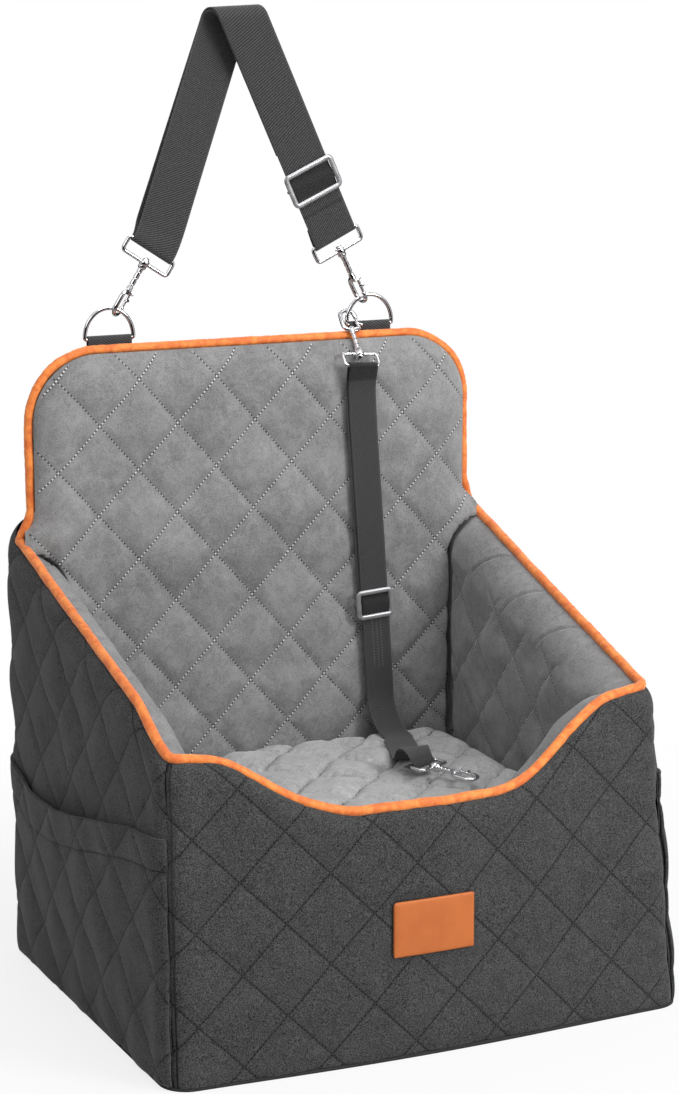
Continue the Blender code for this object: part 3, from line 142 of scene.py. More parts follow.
# Quilt.x and .y count the two families of sewn lines, and .z is the distance from a straight one.
STITCHING, given, made = new_group(
    "stitching",
    [("Quilt", VECTOR, None), ("Plain", FLOAT, 0.0), ("Fine", FLOAT, 0.0)],
    [("Seam", FLOAT), ("Thread", FLOAT), ("Hole", FLOAT)],
)
thin = given["Fine"] * 0.9 + 1.0
first, second, straight = split(given["Quilt"])
seams, threads, holes = [], [], []
# Threads are painted lighter by each family's own share. This is a painted highlight, strongest on the family
# that faces the light.
for across, run, rate, painted_highlight in (
    (first, second, 15.0, 1.0), (second, first, 15.0, 0.45), (straight, first + second, 7.5, 0.8)
):
    off = fold(across) * LINE_SPACING
    stitch = fold(run * rate + 0.5)
    line = fall(off * thin, 0.55, 1.05)
    seams.append(fall(off, 0.1, 1.8))
    threads.append(line * ramp(stitch, 0.24, 0.32, 0.0, painted_highlight))
    holes.append(line * fall(stitch, 0.11, 0.2))
sewn = fall(given["Plain"], 0.35, 0.65)
for found, word in ((seams, "Seam"), (threads, "Thread"), (holes, "Hole")):
    calc("MAXIMUM", calc("MAXIMUM", found[0], found[1]) * sewn, found[2]).into(made[word])

# Short pile, lighter and darker where it has been brushed, with sewn lines sunk in it; the lines and stitch
# holes get painted shade.
VELVET, given, made = new_group(
    "velvet",
    [("Dark", COLOUR, None), ("Light", COLOUR, None), ("Yarn", COLOUR, None)]
    + [("Seam", FLOAT, 0.0), ("Thread", FLOAT, 0.0), ("Hole", FLOAT, 0.0), ("Pebble", FLOAT, 0.0)],
    [("Color", COLOUR), ("Height", FLOAT)],
)
where = coordinates(VELVET)
patches = ramp(noise(where, 11.0, 3.0, 0.55, 1.2), 0.28, 0.74)
mottle = ramp(noise(where, 90.0, 5.0, 0.7, 0.8), 0.28, 0.72)
grain = ramp(noise(where, 900.0, 2.0, 0.8), 0.36, 0.64)
calm = 1.0 - given["Pebble"]
share = patches * (calm * 0.20 + 0.08) + mottle * (calm * 0.16 + 0.14)
share = calc("ADD", share, grain * (given["Pebble"] * 0.36 + 0.40), clamp=True)
colour = mix(share, given["Dark"], given["Light"])
# Painted shade: the pile darkens along the sewn lines and goes nearly black in the stitch holes.
colour = mix(given["Seam"] * 0.3, colour, given["Dark"])
painted_seam_shade = mix(1.0, colour, (0.45, 0.45, 0.45, 1), "MULTIPLY")
colour = mix(given["Seam"] * 0.35, colour, painted_seam_shade)
colour = mix(given["Thread"] * 0.8, colour, given["Yarn"])
painted_hole_shade = mix(1.0, given["Dark"], (0.12, 0.12, 0.12, 1), "MULTIPLY")
mix(given["Hole"] * 0.95, colour, painted_hole_shade).into(made["Color"])
height = grain * 0.5 + mottle * 0.5 - given["Hole"] * 1.6 + given["Thread"] * 0.7 - given["Seam"]
height.into(made["Height"])

# Twill webbing: Web.x is across and Web.y along, in millimetres.
# Web.z is above 0 where painted shade darkens the band, at the bars and slides that it wraps, and below 0
# where rows of stitches run along it.
WEBBING, given, made = new_group(
    "webbing",
    [("Web", VECTOR, None), ("Width", FLOAT, 47.0), ("Pitch", FLOAT, 2.6)]
    + [("Tone", COLOUR, (0.058, 0.058, 0.061, 1))],
    [("Color", COLOUR), ("Height", FLOAT)],
)
across, along, painted_shade_or_rows = split(given["Web"])
aside = calc("ABSOLUTE", across)
rib = ramp(fold((across * 0.62 + along) / given["Pitch"]), 0.1, 0.32)
pick = ramp(fold(across / 1.2), 0.05, 0.3)
selvedge = fall(given["Width"] * 0.5 - aside, 1.4, 2.2)
fuzz = noise(coordinates(WEBBING), 700.0, 2.0, 0.7)
weave = calc("MAXIMUM", rib * (pick * 0.25 + 0.75), selvedge * 0.6)
shade = calc("ADD", weave * 0.85, fuzz * 0.15, clamp=True)
colour = mix(shade, (0.003, 0.003, 0.0033, 1), given["Tone"])
# Painted shade: the band goes near black where Web.z is above 0.
colour = mix(ramp(painted_shade_or_rows, 0.0, 1.0) * 0.78, colour, (0.002, 0.002, 0.002, 1))
dots = fall(fold(across / 4.6), 0.07, 0.13) * ramp(fold(along / 3.0), 0.26, 0.36)
dots = dots * fall(aside, 5.5, 6.5) * fall(painted_shade_or_rows, -1.0, 0.0)
mix(dots * 0.42, colour, (0.30, 0.30, 0.30, 1)).into(made["Color"])
(weave + fuzz * 0.3).into(made["Height"])


def new_material(name, settings):
    """A material and its Principled shader's inputs, set by name."""
    material = bpy.data.materials.new(name)
    material.use_nodes = True
    shader = material.node_tree.nodes["Principled BSDF"].inputs
    for word, value in settings.items():
        shader[word].default_value = value
    return material, shader


def emboss(shader, height, strength, distance):
    node = node_of("ShaderNodeBump", (strength, distance, height), ("Strength", "Distance", "Height"))
    Signal(node.outputs["Normal"]).into(shader["Normal"])


def stored(tree, name, output="Vector"):
    node = tree.nodes.new("ShaderNodeAttribute")
    node.attribute_name = name
    return Signal(node.outputs[output])


def finish_of(obj, name, group, settings, wiring, bump, depth=0.0006):
    """A material of one shared group: settings are Principled values, wiring is for the group."""
    material, shader = new_material(name, settings)
    tree = material.node_tree
    if group is VELVET:
        lines = (stored(tree, "quilt"), stored(tree, "plain", "Fac"), 0.4)
        sewn = node_of("ShaderNodeGroup", lines, ("Quilt", "Plain", "Fine"), node_tree=STITCHING)
        wiring = wiring | {word: Signal(sewn.outputs[word]) for word in ("Seam", "Thread", "Hole")}
    else:
        wiring = wiring | {"Web": stored(tree, "web")}
    node = node_of("ShaderNodeGroup", wiring.values(), wiring, node_tree=group)
    Signal(node.outputs["Color"]).into(shader["Base Color"])
    emboss(shader, Signal(node.outputs["Height"]), bump, depth)
    obj.data.materials.append(material)


def belongs(obj, body, slot, *nodes):
    """The body that a piece rides on and the nodes that it replaces; its slot is not used."""
    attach(obj, body)
    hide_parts(*nodes)


# Cloth over the walls
# Plan, rim and quilting of the bucket, as smooth functions, and the grids made from them.

FLOOR_HALF, RIM_HALF, REAR_WIDER = 0.252, 0.250, 0.0075
RIM, RIM_RISE, REAR_RIM, SHOULDER_RISE = 0.308, 0.1115, 0.4195, 0.0205
DIP, DIP_DEPTH, DIP_HALF = 0.2325, 0.0755, 0.066
FRONT_Y, REAR_Y, FRONT_LEAN = -0.2075, 0.1905, 0.018
BOW_HALF, FLOOR_BOW, RIM_BOW = 0.243, 0.010, 0.0165
CORNER, CREST, WALL = 0.027, 0.012, 0.048
OUTER_ROLL, INNER_ROLL, FOOT = 0.022, 0.036, 0.0033
RIGHT_SPREAD, SPREAD_START, SPREAD_REACH = 0.021, 0.12, 0.132
SETTLE_ALONG, SETTLE_BEHIND = 0.08, 0.05


def smooth(t):
    t = np.clip(t, 0, 1)
    return t * t * (3 - 2 * t)


def bell(x, width):
    return np.exp(-((x / width) ** 2))


def half_width(share, z):
    return FLOOR_HALF + (RIM_HALF + REAR_WIDER * share - FLOOR_HALF) * z / (RIM + RIM_RISE * share)


def front_y(x, z):
    up = z / RIM
    across = np.minimum(1, np.abs(x) / BOW_HALF)
    return FRONT_Y + FRONT_LEAN * up - (FLOOR_BOW + RIM_BOW * up) * (1 - across**2) ** 1.5


def plan(s, z, inset):
    """Right-hand outline: s to 1 is the front, to 2 the corner, to 3 the side, to 4 the rear corner."""
    radius = np.maximum(CORNER - 1.6 * inset, 0.006)
    corner_x = half_width(0, z) - inset - radius
    corner_y = front_y(corner_x, z) + inset + radius
    front_x = corner_x * np.clip(s, 0, 1)
    turn = pi / 2 * np.clip(s - 1, 0, 1)
    along = np.clip(s - 2, 0, 1)
    back = pi / 2 * np.clip(s - 3, 0, 1)
    parts = [s <= 1, s <= 2, s <= 3]
    x = np.select(
        parts,
        [front_x, corner_x + radius * np.sin(turn), half_width(along, z) - inset],
        half_width(1, z) - CORNER + (CORNER - inset) * np.cos(back),
    )
    side_y = corner_y + (REAR_Y - corner_y) * along
    y = np.select(
        parts,
        [front_y(front_x, z) + inset, corner_y - radius * np.cos(turn), side_y],
        REAR_Y + (CORNER - inset) * np.sin(back),
    )
    return x, y


CREST_X, FRONT_CREST_Y = (float(v) for v in plan(np.array(1.0), RIM, CREST))


def rim_height(s):
    x = CREST_X * np.clip(s, 0, 1)
    front = DIP + DIP_DEPTH * smooth((x - DIP_HALF) / (CREST_X - DIP_HALF))
    slope = RIM_RISE / (REAR_Y - FRONT_CREST_Y)
    side = RIM + slope * (plan(s, RIM, CREST)[1] - FRONT_CREST_Y)
    return np.select([s <= 1, s <= 3], [front, side], REAR_RIM + SHOULDER_RISE * np.clip(s - 3, 0, 1))


def spread(points):
    """The soft walls as they stand: the rim's left corner low, the right wall out towards the floor."""
    x, y, z = points[..., 0], points[..., 1], points[..., 2]
    across, left = np.abs(x), x < 0
    half, shelf_x = np.where(left, 0.085, 0.072), np.where(left, 0.2115, 0.205)
    shelf, top = np.where(left, 0.2915, 0.304), np.where(left, 0.2945, RIM)
    wanted = DIP + (shelf - DIP) * smooth((across - half) / (shelf_x - half))
    wanted = wanted + (top - shelf) * np.clip((across - shelf_x) / (0.238 - shelf_x), 0, 1)
    even = DIP + DIP_DEPTH * smooth((across - DIP_HALF) / (CREST_X - DIP_HALF))
    aside = smooth((across - shelf_x + WALL) / WALL) * smooth((y - FRONT_CREST_Y) / SETTLE_ALONG)
    behind = smooth((y - FRONT_CREST_Y - 0.060) / SETTLE_BEHIND)
    points[..., 2] += (wanted - even) * smooth((z - 0.226) / SETTLE_BEHIND) * (1 - aside) * (1 - behind)
    low = np.maximum(0, 1 - z / RIM)
    points[..., 0] += RIGHT_SPREAD * low * smooth((points[..., 0] - SPREAD_START) / SPREAD_REACH)
    return points


def wall(s, side, outer, rows=84, roll=16):
    """Grid over a wall's outer or inner face, from the floor over the roll to the piping."""
    s = s[None, :]
    top = rim_height(s)
    inset = CREST - 0.007 * np.clip(s - 3, 0, 1)
    turn = (pi / 2 - 0.05) * np.linspace(0, 1, roll)[1:, None]
    round_off, depth = (OUTER_ROLL, 0) if outer else (INNER_ROLL, WALL)
    low = FOOT + (top - round_off - FOOT) * np.linspace(0, 1, rows)[:, None]
    z = np.vstack([low, top - round_off + round_off * np.sin(turn)])
    far = np.vstack([np.full_like(low, depth), inset + (depth - inset) * np.cos(turn)])
    x, y = plan(np.broadcast_to(s, z.shape), z, far)
    return spread(np.stack([side * x, y, z], -1))


def whole_front(half, outer, **counts):
    """The front wall's grid, from its left seam to its right one."""
    left, right = wall(half[1:], -1, outer, **counts), wall(half, 1, outer, **counts)
    return np.concatenate([left[:, ::-1], right], axis=1)


def waves(points, seed, size, count=9):
    """Smooth seeded noise between -1 and 1 whose bumps are about that size."""
    random = np.random.default_rng(seed)
    total = np.zeros(points.shape[:-1])
    for i in range(count):
        way = random.normal(size=3)
        way *= random.uniform(0.6, 1.6) * 2 * pi / size / np.linalg.norm(way)
        warp = 0.8 * np.sin(points @ random.normal(size=3) * 2 / size + random.uniform(0, 6.3))
        total += np.sin(points @ way + random.uniform(0, 6.3) + warp)
    return total / count**0.5 / 1.4


def lengths(points, axis):
    steps = np.linalg.norm(np.diff(points, axis=axis), axis=-1)
    shape = list(points.shape[:-1])
    shape[axis] = 1
    return np.concatenate([np.zeros(shape), np.cumsum(steps, axis=axis)], axis=axis)


def normals(points):
    down = np.gradient(points, axis=0)
    over = np.gradient(points, axis=1)
    found = np.cross(over, down)
    return found / np.maximum(1e-12, np.linalg.norm(found, axis=-1, keepdims=True))


def quilt_height(u, v, points, seed, puff=0.0024, pinch=0.0018, pucker=0.0004):
    """Puffed diamonds between sewn lines at whole u and v, 59 mm apart, with puckers along them."""
    du = np.abs(u - np.round(u)) * LINE_SPACING
    dv = np.abs(v - np.round(v)) * LINE_SPACING
    crown = np.abs(np.sin(pi * u) * np.sin(pi * v)) ** 0.8
    sunk = (1 - np.exp(-du / 3.2)) * (1 - np.exp(-dv / 3.2))
    drift = 3 * waves(points, seed + 7, 0.05)
    ripple = np.sin(2 * pi * v * 6.5 + drift) * np.exp(-du / 7) * (1 - np.exp(-du / 1.5))
    ripple = ripple + np.sin(2 * pi * u * 6.5 - drift) * np.exp(-dv / 7) * (1 - np.exp(-dv / 1.5))
    return puff * crown * (1 + 0.25 * waves(points, seed, 0.12)) + pinch * (sunk - 1) + pucker * ripple


def grid_mesh(name, points, attribute="quilt", values=None, flip=False, closed=False, plain=None):
    """A smooth mesh over a grid, with a vector stored at each point, and plain where nothing is sewn."""
    rows, columns = points.shape[:2]
    index = np.arange(rows * columns).reshape(rows, columns)
    if closed:
        index = np.concatenate([index, index[:, :1]], axis=1)
    quads = np.stack([index[:-1, :-1], index[:-1, 1:], index[1:, 1:], index[1:, :-1]], -1).reshape(-1, 4)
    if flip:
        quads = quads[:, ::-1]
    mesh = bpy.data.meshes.new(name)
    mesh.vertices.add(points.size // 3)
    mesh.vertices.foreach_set("co", points.astype(np.float32).ravel())
    mesh.loops.add(quads.size)
    mesh.loops.foreach_set("vertex_index", quads.astype(np.int32).ravel())
    mesh.polygons.add(len(quads))
    mesh.polygons.foreach_set("loop_start", np.arange(0, quads.size, 4, dtype=np.int32))
    mesh.update(calc_edges=True)
    if values is not None:
        layer = mesh.attributes.new(attribute, "FLOAT_VECTOR", "POINT")
        layer.data.foreach_set("vector", values.astype(np.float32).ravel())
    if plain is not None:
        layer = mesh.attributes.new("plain", "FLOAT", "POINT")
        layer.data.foreach_set("value", plain.astype(np.float32).ravel())
    mesh.shade_smooth()
    obj = bpy.data.objects.new(name, mesh)
    scene.collection.objects.link(obj)
    return obj


def dense(*runs):
    """Parameters in even steps: each run is (start, end, count)."""
    return np.concatenate([np.linspace(a, b, n, endpoint=False) for a, b, n in runs] + [[runs[-1][1]]])


def mirrored(line):
    """A right-hand line and its mirror image, as one loop."""
    return np.concatenate([line, (line * [-1, 1, 1])[::-1][:-1]])


PITCH_ACROSS, PITCH_UP = 0.083, 0.084


def diamonds(across, up):
    """Counts of the two families of sewn lines, whole on a line."""
    return across / PITCH_ACROSS + up / PITCH_UP, across / PITCH_ACROSS - up / PITCH_UP


def stacked(u, v, straight=0.5):
    return np.stack([u, v, straight + 0 * u], -1)


def lifted(points, height):
    return points + normals(points) * height[..., None]


def thicken(obj, thickness, offset):
    thick = obj.modifiers.new("thickness", "SOLIDIFY")
    thick.thickness, thick.offset = thickness, offset


def padded_velvet(obj, velvet, place, *nodes, fill=0.8, pile=None):
    """A padded piece of the body; a velvet is its slot, Principled values, pile and bump."""
    slot, settings, own_pile, bump = velvet
    finish_of(obj, f"{slot}_{place}", VELVET, settings, pile or own_pile, bump)
    belongs(obj, "body", slot, *nodes)


# Outer front
# Bowed charcoal velvet, quilted in diamonds, with a raised roll under the piping.
# It is sewn to the sides in the corners, and flat where the label sits.

DARK = (
    "dark_velvet",
    {"Roughness": 0.9, "Sheen Weight": 0.22, "Sheen Roughness": 0.3, "Specular IOR Level": 0.25},
    {
        "Dark": (0.004, 0.004, 0.004, 1),
        "Light": (0.098, 0.098, 0.099, 1),
        "Yarn": (0.030, 0.030, 0.031, 1),
        "Pebble": 1.0,
    },
    0.5,
)
COVER_SEAM = 1.55
COVER_QUILT = (0.0011, 0.0012, 0.0002)
QUILT_RISE, LABEL_Z = 0.2257, 0.124


def cover_relief(points, u, v, up, seam, seed, drift):
    """Quilting that sinks at the seams and the foot and is flatter on the roll."""
    height = quilt_height(u, v, points, seed, *COVER_QUILT) + drift
    height -= 0.0022 * bell(seam, 0.004) + 0.0025 * np.exp(-points[..., 2] / 0.004)
    return height * (1 - 0.6 * smooth((up - (up[-1:] - 0.012)) / 0.012))


points = whole_front(dense((0, 1, 70), (1, COVER_SEAM, 7)), True)
up, along = lengths(points, 0) + FOOT, lengths(points, 1)
across = points[..., 0]
u, v = diamonds(across + 0.2232, up - QUILT_RISE)
seam = np.minimum(along, along[:, -1:] - along)
height = cover_relief(points, u, v, up, seam, 3, 0.0014 * waves(points, 5, 0.11))
height *= smooth(np.maximum(np.abs(across) - 0.038, np.abs(points[..., 2] - LABEL_Z) - 0.024) / 0.012)
quilt = stacked(u, v, np.clip((seam - 0.0045) / (LINE_SPACING / 1000), -0.5, 0.5))
obj = grid_mesh("outer_front_cover", lifted(points, height), values=quilt)
padded_velvet(obj, DARK, "front", "outer_front", "foam_front")


# Outer sides
# The same velvet round the front corner, along the side and round the rear corner.

for word, side in (("left", -1), ("right", 1)):
    points = wall(dense((COVER_SEAM, 2, 6), (2, 3, 105), (3, 3.985, 14)), side, True, rows=110)
    up, along = lengths(points, 0) + FOOT, lengths(points, 1)
    u, v = diamonds(along.mean(axis=0, keepdims=True) + 0.252 + 0 * up + 0.019, up - QUILT_RISE)
    height = cover_relief(points, u, v, up, along, 11 + side, 0.0018 * waves(points, 15 + side, 0.10))
    obj = grid_mesh(f"outer_{word}_cover", lifted(points, side * height), values=stacked(u, v), flip=side < 0)
    padded_velvet(obj, DARK, word, f"outer_{word}", f"foam_{word}")


# Wall linings
# Grey velvet from the cushion up over the thick inner roll to the piping.
# The side walls' rolls are creased: each crease has its place along the wall and its reach down.

GREY = (
    "grey_velvet",
    {"Roughness": 0.92, "Sheen Weight": 0.35, "Sheen Roughness": 0.4, "Specular IOR Level": 0.2},
    {
        "Dark": (0.115, 0.115, 0.116, 1),
        "Light": (0.35, 0.35, 0.352, 1),
        "Yarn": (0.78, 0.78, 0.78, 1),
    },
    0.45,
)
LINING_SEAM = 1.5
CREASES = ((0.335, 0.050), (0.262, 0.044), (0.188, 0.052), (0.115, 0.040))
points = whole_front(dense((0, 1, 64), (1, LINING_SEAM, 4)), False, rows=60, roll=22)
up = lengths(points, 0)
u, v = diamonds(points[..., 0], up - 0.2)
fade = smooth((up[-1:] - up - 0.035) / 0.02)
height = quilt_height(u, v, points, 21) * fade + 0.0012 * waves(points, 25, 0.06)
points = lifted(points, -height)
obj = grid_mesh("lining_front_cover", points, values=stacked(u, v), flip=True, plain=1 - fade)
padded_velvet(obj, GREY, "front", "lining_front")

for word, side in (("left", -1), ("right", 1)):
    points = wall(dense((LINING_SEAM, 2, 6), (2, 3, 220)), side, False, rows=96, roll=30)
    up, along = lengths(points, 0), lengths(points, 1)
    u, v = diamonds(along.mean(axis=0, keepdims=True) + 0 * up - 0.01, up - 0.21)
    drawn = up[-1:] - up
    fade = smooth((drawn - 0.040) / 0.02)
    height = quilt_height(u, v, points, 31 + side) * fade + 0.0022 * waves(points, 35 + side, 0.07) * fade
    rolled = smooth(drawn / 0.015) * (1 - smooth((drawn - 0.045) / 0.03))
    crease = np.sin(along * 75 + 2.2 * np.sin(along * 21) + 28 * drawn)
    height = height + 0.0018 * rolled * np.where(crease > 0.35, crease - 0.35, 0) * waves(points, 41, 0.13)
    for first, reach in CREASES:
        off = along - first - 0.05 * drawn - 3.0 * drawn**2
        there = smooth((drawn - 0.003) / 0.008) * (1 - smooth((drawn - reach) / 0.018))
        height = height + there * (0.0010 * bell(off, 0.008) - 0.0040 * bell(off, 0.0016))
    rear = np.clip((points[..., 1] - 0.1540) / 0.0060, 0, 1)
    height = height * (1 - rear) - 0.005 * (1 - np.sqrt(1 - rear**2)) * smooth(drawn / 0.03)
    points = lifted(points, -side * height)
    obj = grid_mesh(f"lining_{word}_cover", points, values=stacked(u, v), flip=side > 0, plain=1 - fade)
    padded_velvet(obj, GREY, word, f"lining_{word}")


# Back panel
# Its front and rear faces meet at the piping; the faces round over towards it.
# The front one's quilting leans a little, and the tether presses its straight run flat.

PANEL_HALF, PANEL_TOP, PANEL_CORNER, PANEL_FOOT = 0.2335, 0.6015, 0.067, 0.452
PANEL_Y, PANEL_FRONT, PANEL_REAR, PANEL_ROUND, PANEL_INSET = 0.1875, 0.025, 0.030, 0.045, 0.0012
TETHER_DRIFT, TETHER_TOP = 0.0685, 0.548


def back_face(sign, half_depth, low_width, columns=150):
    """Grid over a face of the back panel: sign -1 is the front."""
    straight, curve = PANEL_TOP - PANEL_CORNER, PANEL_CORNER - PANEL_INSET
    rows = [(z, low_width(z)) for z in np.linspace(FOOT, PANEL_FOOT, 124)[:-1]]
    rows += [(z, PANEL_HALF - PANEL_INSET) for z in np.linspace(PANEL_FOOT, straight, 22, endpoint=False)]
    for turn in pi / 2 * np.linspace(0, 1, 34):
        rows.append((straight + curve * sin(turn), PANEL_HALF - PANEL_CORNER + curve * cos(turn)))
    z, width = (np.array(column)[:, None] for column in zip(*rows))
    even = np.linspace(-1, 1, columns)
    x = width * (np.sin(pi / 2 * even) * 0.35 + even * 0.65)[None, :]
    z = np.broadcast_to(z, x.shape)
    aside = PANEL_HALF - np.abs(x) + smooth((0.443 - z) / 0.044) * 0.045
    down = PANEL_TOP - z
    rounded = PANEL_CORNER - np.hypot(PANEL_CORNER - aside, PANEL_CORNER - down)
    distance = np.where((aside < PANEL_CORNER) & (down < PANEL_CORNER), rounded, np.minimum(aside, down))
    share = np.clip(distance / PANEL_ROUND, 0, 1)
    y = PANEL_Y + sign * half_depth * np.sqrt(1 - (1 - share) ** 2)
    return np.stack([x, y, z], -1), distance


def lining_width(z):
    return 0.2465 - 0.0140 * float(smooth((z - 0.418) / 0.034))


def rear_width(z):
    return 0.2305 + 0.0018 * float(smooth((z - 0.42) / 0.03))


points, distance = back_face(-1, PANEL_FRONT, lining_width, 250)
x, z = points[..., 0], points[..., 2]
over, sunk = x + 0.1289, z - 0.5753
across, down = (24.545 * over - 0.572 * sunk), (-0.494 * over - 22.603 * sunk)
u, v = (across + down) / 2, (across - down) / 2
fade = smooth((distance - 0.003) / 0.022)
rolled = np.clip((z - 0.3755) / INNER_ROLL, 0, 1)
past = np.abs(x) - (half_width(0.93, z) - CREST - INNER_ROLL * np.sqrt(1 - rolled**2))
groove = smooth((past + 0.0015) / 0.003) * (1 - smooth((past - 0.007) / 0.004))
groove = groove * (1 - smooth((z - 0.405) / 0.012))
height = quilt_height(u, v, points, 51, puff=0.0030, pinch=0.0026) * fade * (1 - groove) - 0.019 * groove
height += 0.0018 * waves(points, 55, 0.10) * fade + 0.0006 * waves(points, 57, 0.03) * fade
beside = np.abs(x - 0.106 - TETHER_DRIFT * (TETHER_TOP - z))
pressed = 1 - smooth((beside - 0.022) / 0.014)
height = height - pressed * np.maximum(0, height - 0.0002)
points[..., 1] -= height
plain = 1 - smooth((distance - 0.002) / 0.002)
lining_back = grid_mesh("lining_back_cover", points, values=stacked(u, v), plain=plain)
padded_velvet(lining_back, GREY, "back", "lining_back", "foam_back")

points, distance = back_face(1, PANEL_REAR, rear_width)
u, v = diamonds(points[..., 0], points[..., 2] - 0.5627)
height = quilt_height(u, v, points, 61) * smooth((distance - 0.005) / 0.02) + 0.0012 * waves(points, 65, 0.12)
points[..., 1] += height
outer_rear = grid_mesh("outer_rear_cover", spread(points), values=stacked(u, v), flip=True)
padded_velvet(outer_rear, DARK, "rear", "outer_rear")


# Tubes and turned pieces
# Round wire and cord swept along a line, and profiles turned about Z.

def angles(end, steps, begin=0):
    """Angles in even steps up to the end."""
    return [end * i / steps for i in range(begin, steps + 1)]


def resample(points, step, cyclic=False):
    """The line's points again in even steps on a smooth curve through them."""
    points = np.asarray(points, float)
    if cyclic:
        points = np.concatenate([points[-3:], points, points[:4]])
    at = np.concatenate([[0], np.cumsum(np.linalg.norm(np.diff(points[:, :3], axis=0), axis=1))])
    tangent = np.gradient(points, axis=0) / np.maximum(1e-9, np.gradient(at))[:, None]
    low, high = (at[3], at[-4]) if cyclic else (at[0], at[-1])
    count = max(3, int(round((high - low) / step)) + 1)
    wanted = np.linspace(low, high, count, endpoint=not cyclic)
    i = np.clip(np.searchsorted(at, wanted, side="right") - 1, 0, len(at) - 2)
    span = np.maximum(1e-9, at[i + 1] - at[i])[:, None]
    t = (wanted[:, None] - at[i][:, None]) / span
    first = (2 * t**3 - 3 * t**2 + 1) * points[i] + (t**3 - 2 * t**2 + t) * span * tangent[i]
    return first + (3 * t**2 - 2 * t**3) * points[i + 1] + (t**3 - t**2) * span * tangent[i + 1]


def tube(points, radius, cyclic=False, sides=14, step=0.0015, swell=None):
    """Rings of points round a line, closed on itself or with rounded ends."""
    line = resample(points, step, cyclic)
    ahead = np.roll(line, -1, 0) - np.roll(line, 1, 0)
    if not cyclic:
        ahead[0], ahead[-1] = line[1] - line[0], line[-1] - line[-2]
    ahead /= np.linalg.norm(ahead, axis=1, keepdims=True)
    side = np.cross(ahead[0], [0.31, 0.17, 0.94])
    rings = []
    for i, way in enumerate(ahead):
        side = side - way * (side @ way)
        side /= np.linalg.norm(side)
        other = np.cross(way, side)
        turn = 2 * pi * np.arange(sides) / sides
        size = radius * (1 + (swell[i % len(swell)] if swell is not None else 0))
        rings.append(line[i] + size * (np.cos(turn)[:, None] * side + np.sin(turn)[:, None] * other))
    rings = np.array(rings)
    if not cyclic:
        ends = []
        for end, way in ((0, -1), (-1, 1)):
            caps = []
            for turn in (0.4, 0.8, 1.2, 1.5):
                middle = line[end] + way * ahead[end] * radius * sin(turn)
                caps.append(middle + (rings[end] - line[end]) * cos(turn))
            ends.append(caps if way > 0 else caps[::-1])
        rings = np.concatenate([ends[0], rings, ends[1]])
    else:
        rings = np.concatenate([rings, rings[:1]])
    return rings


def turned(profile, sides=28):
    turn = 2 * pi * np.arange(sides) / sides
    return np.array([[[r * cos(a), r * sin(a), z] for a in turn] for r, z in profile])


def joined(name, grids, place=None):
    """One object of several closed grids, each a row of rings."""
    made = [grid_mesh(name, rings, closed=True) for rings in grids]
    if len(made) > 1:
        with bpy.context.temp_override(active_object=made[0], selected_editable_objects=made):
            bpy.ops.object.join()
    obj = made[0]
    obj.name = name
    obj.data.set_sharp_from_angle(angle=radians(42))
    if place is not None:
        obj.data.transform(place)
    return obj


# Piping
# An orange cord that rings the rim and the back panel in one loop.

PIPING, CLOTH, GAP = 0.0045, 0.003, 0.0003
proud = PIPING - CLOTH + GAP
s = dense((0, 1, 60), (1, 2, 12), (2, 3, 60))
z = rim_height(s)
x, y = plan(s, z, CREST)
line = [*zip(x, y, z + proud)]
line += [(PANEL_HALF + proud + 0.003, PANEL_Y, 0.440), (PANEL_HALF + proud, PANEL_Y, PANEL_FOOT)]
radius = PANEL_CORNER + proud
for turn in angles(pi / 2, 12):
    x = PANEL_HALF - PANEL_CORNER + radius * cos(turn)
    line.append((x, PANEL_Y, PANEL_TOP - PANEL_CORNER + radius * sin(turn)))
line = mirrored(resample(line, 0.004))
line = spread(line + 0.0005 * np.stack([waves(line, 71 + i, 0.05) for i in range(3)], -1))
swell = 0.05 * waves(line, 77, 0.012) + 0.03 * waves(line, 78, 0.03)
rings = tube(line, 0.0046, cyclic=True, sides=18, step=0.002, swell=swell)
piping = grid_mesh("rim_piping_cord", rings, closed=True)
material, shader = new_material("orange_piping_satin", {"Roughness": 0.62, "Sheen Weight": 0.25})
where = coordinates(material.node_tree)
folds = noise(where, 110.0, 3.0, 0.55, 0.6)
# The colour follows the folds: painted shade in their hollows and a painted sheen on their crests.
mix(ramp(folds, 0.3, 0.72), (0.66, 0.13, 0.014, 1), (0.90, 0.27, 0.045, 1)).into(shader["Base Color"])
emboss(shader, folds + noise(where, 900.0, 2.0, 0.6) * 0.4, 0.35, 0.0008)
piping.data.materials.append(material)
belongs(piping, "body", "orange_piping", "rim_piping")


# Base cloth
# The dotted underside, a thin sheet under the whole body.

BASE_MIDDLE = 0.0015
s = dense((0, 1, 30), (1, 2, 10), (2, 3, 30), (3, 4, 10))
x, y = plan(s, 0 * s, GAP)
edge = spread(mirrored(np.stack([x, y, 0 * x + BASE_MIDDLE], -1)))
middle = np.array([0, 0, BASE_MIDDLE])
cells = np.stack([middle + (edge - middle) * share for share in (0.02, 0.35, 0.7, 1.0)])
base = grid_mesh("non_slip_base_cloth", cells, closed=True, flip=True)
thicken(base, 0.0024, 0)
material, shader = new_material("base_cloth_dots", {})
where = coordinates(material.node_tree)
spot = fall(cell_noise(where, 125.0, 0.0), 0.22, 0.3)
mix(spot, (0.022, 0.022, 0.023, 1), (0.008, 0.008, 0.009, 1)).into(shader["Base Color"])
ramp(spot, 0.0, 1.0, 0.9, 0.45).into(shader["Roughness"])
emboss(shader, spot + noise(where, 900.0) * 0.3, 1.0, 0.0008)
base.data.materials.append(material)
belongs(base, "body", "base_cloth", "non_slip_base")


# Cushion
# Loose and crowned, sewn in diamonds, its sides pulled in between the corners.

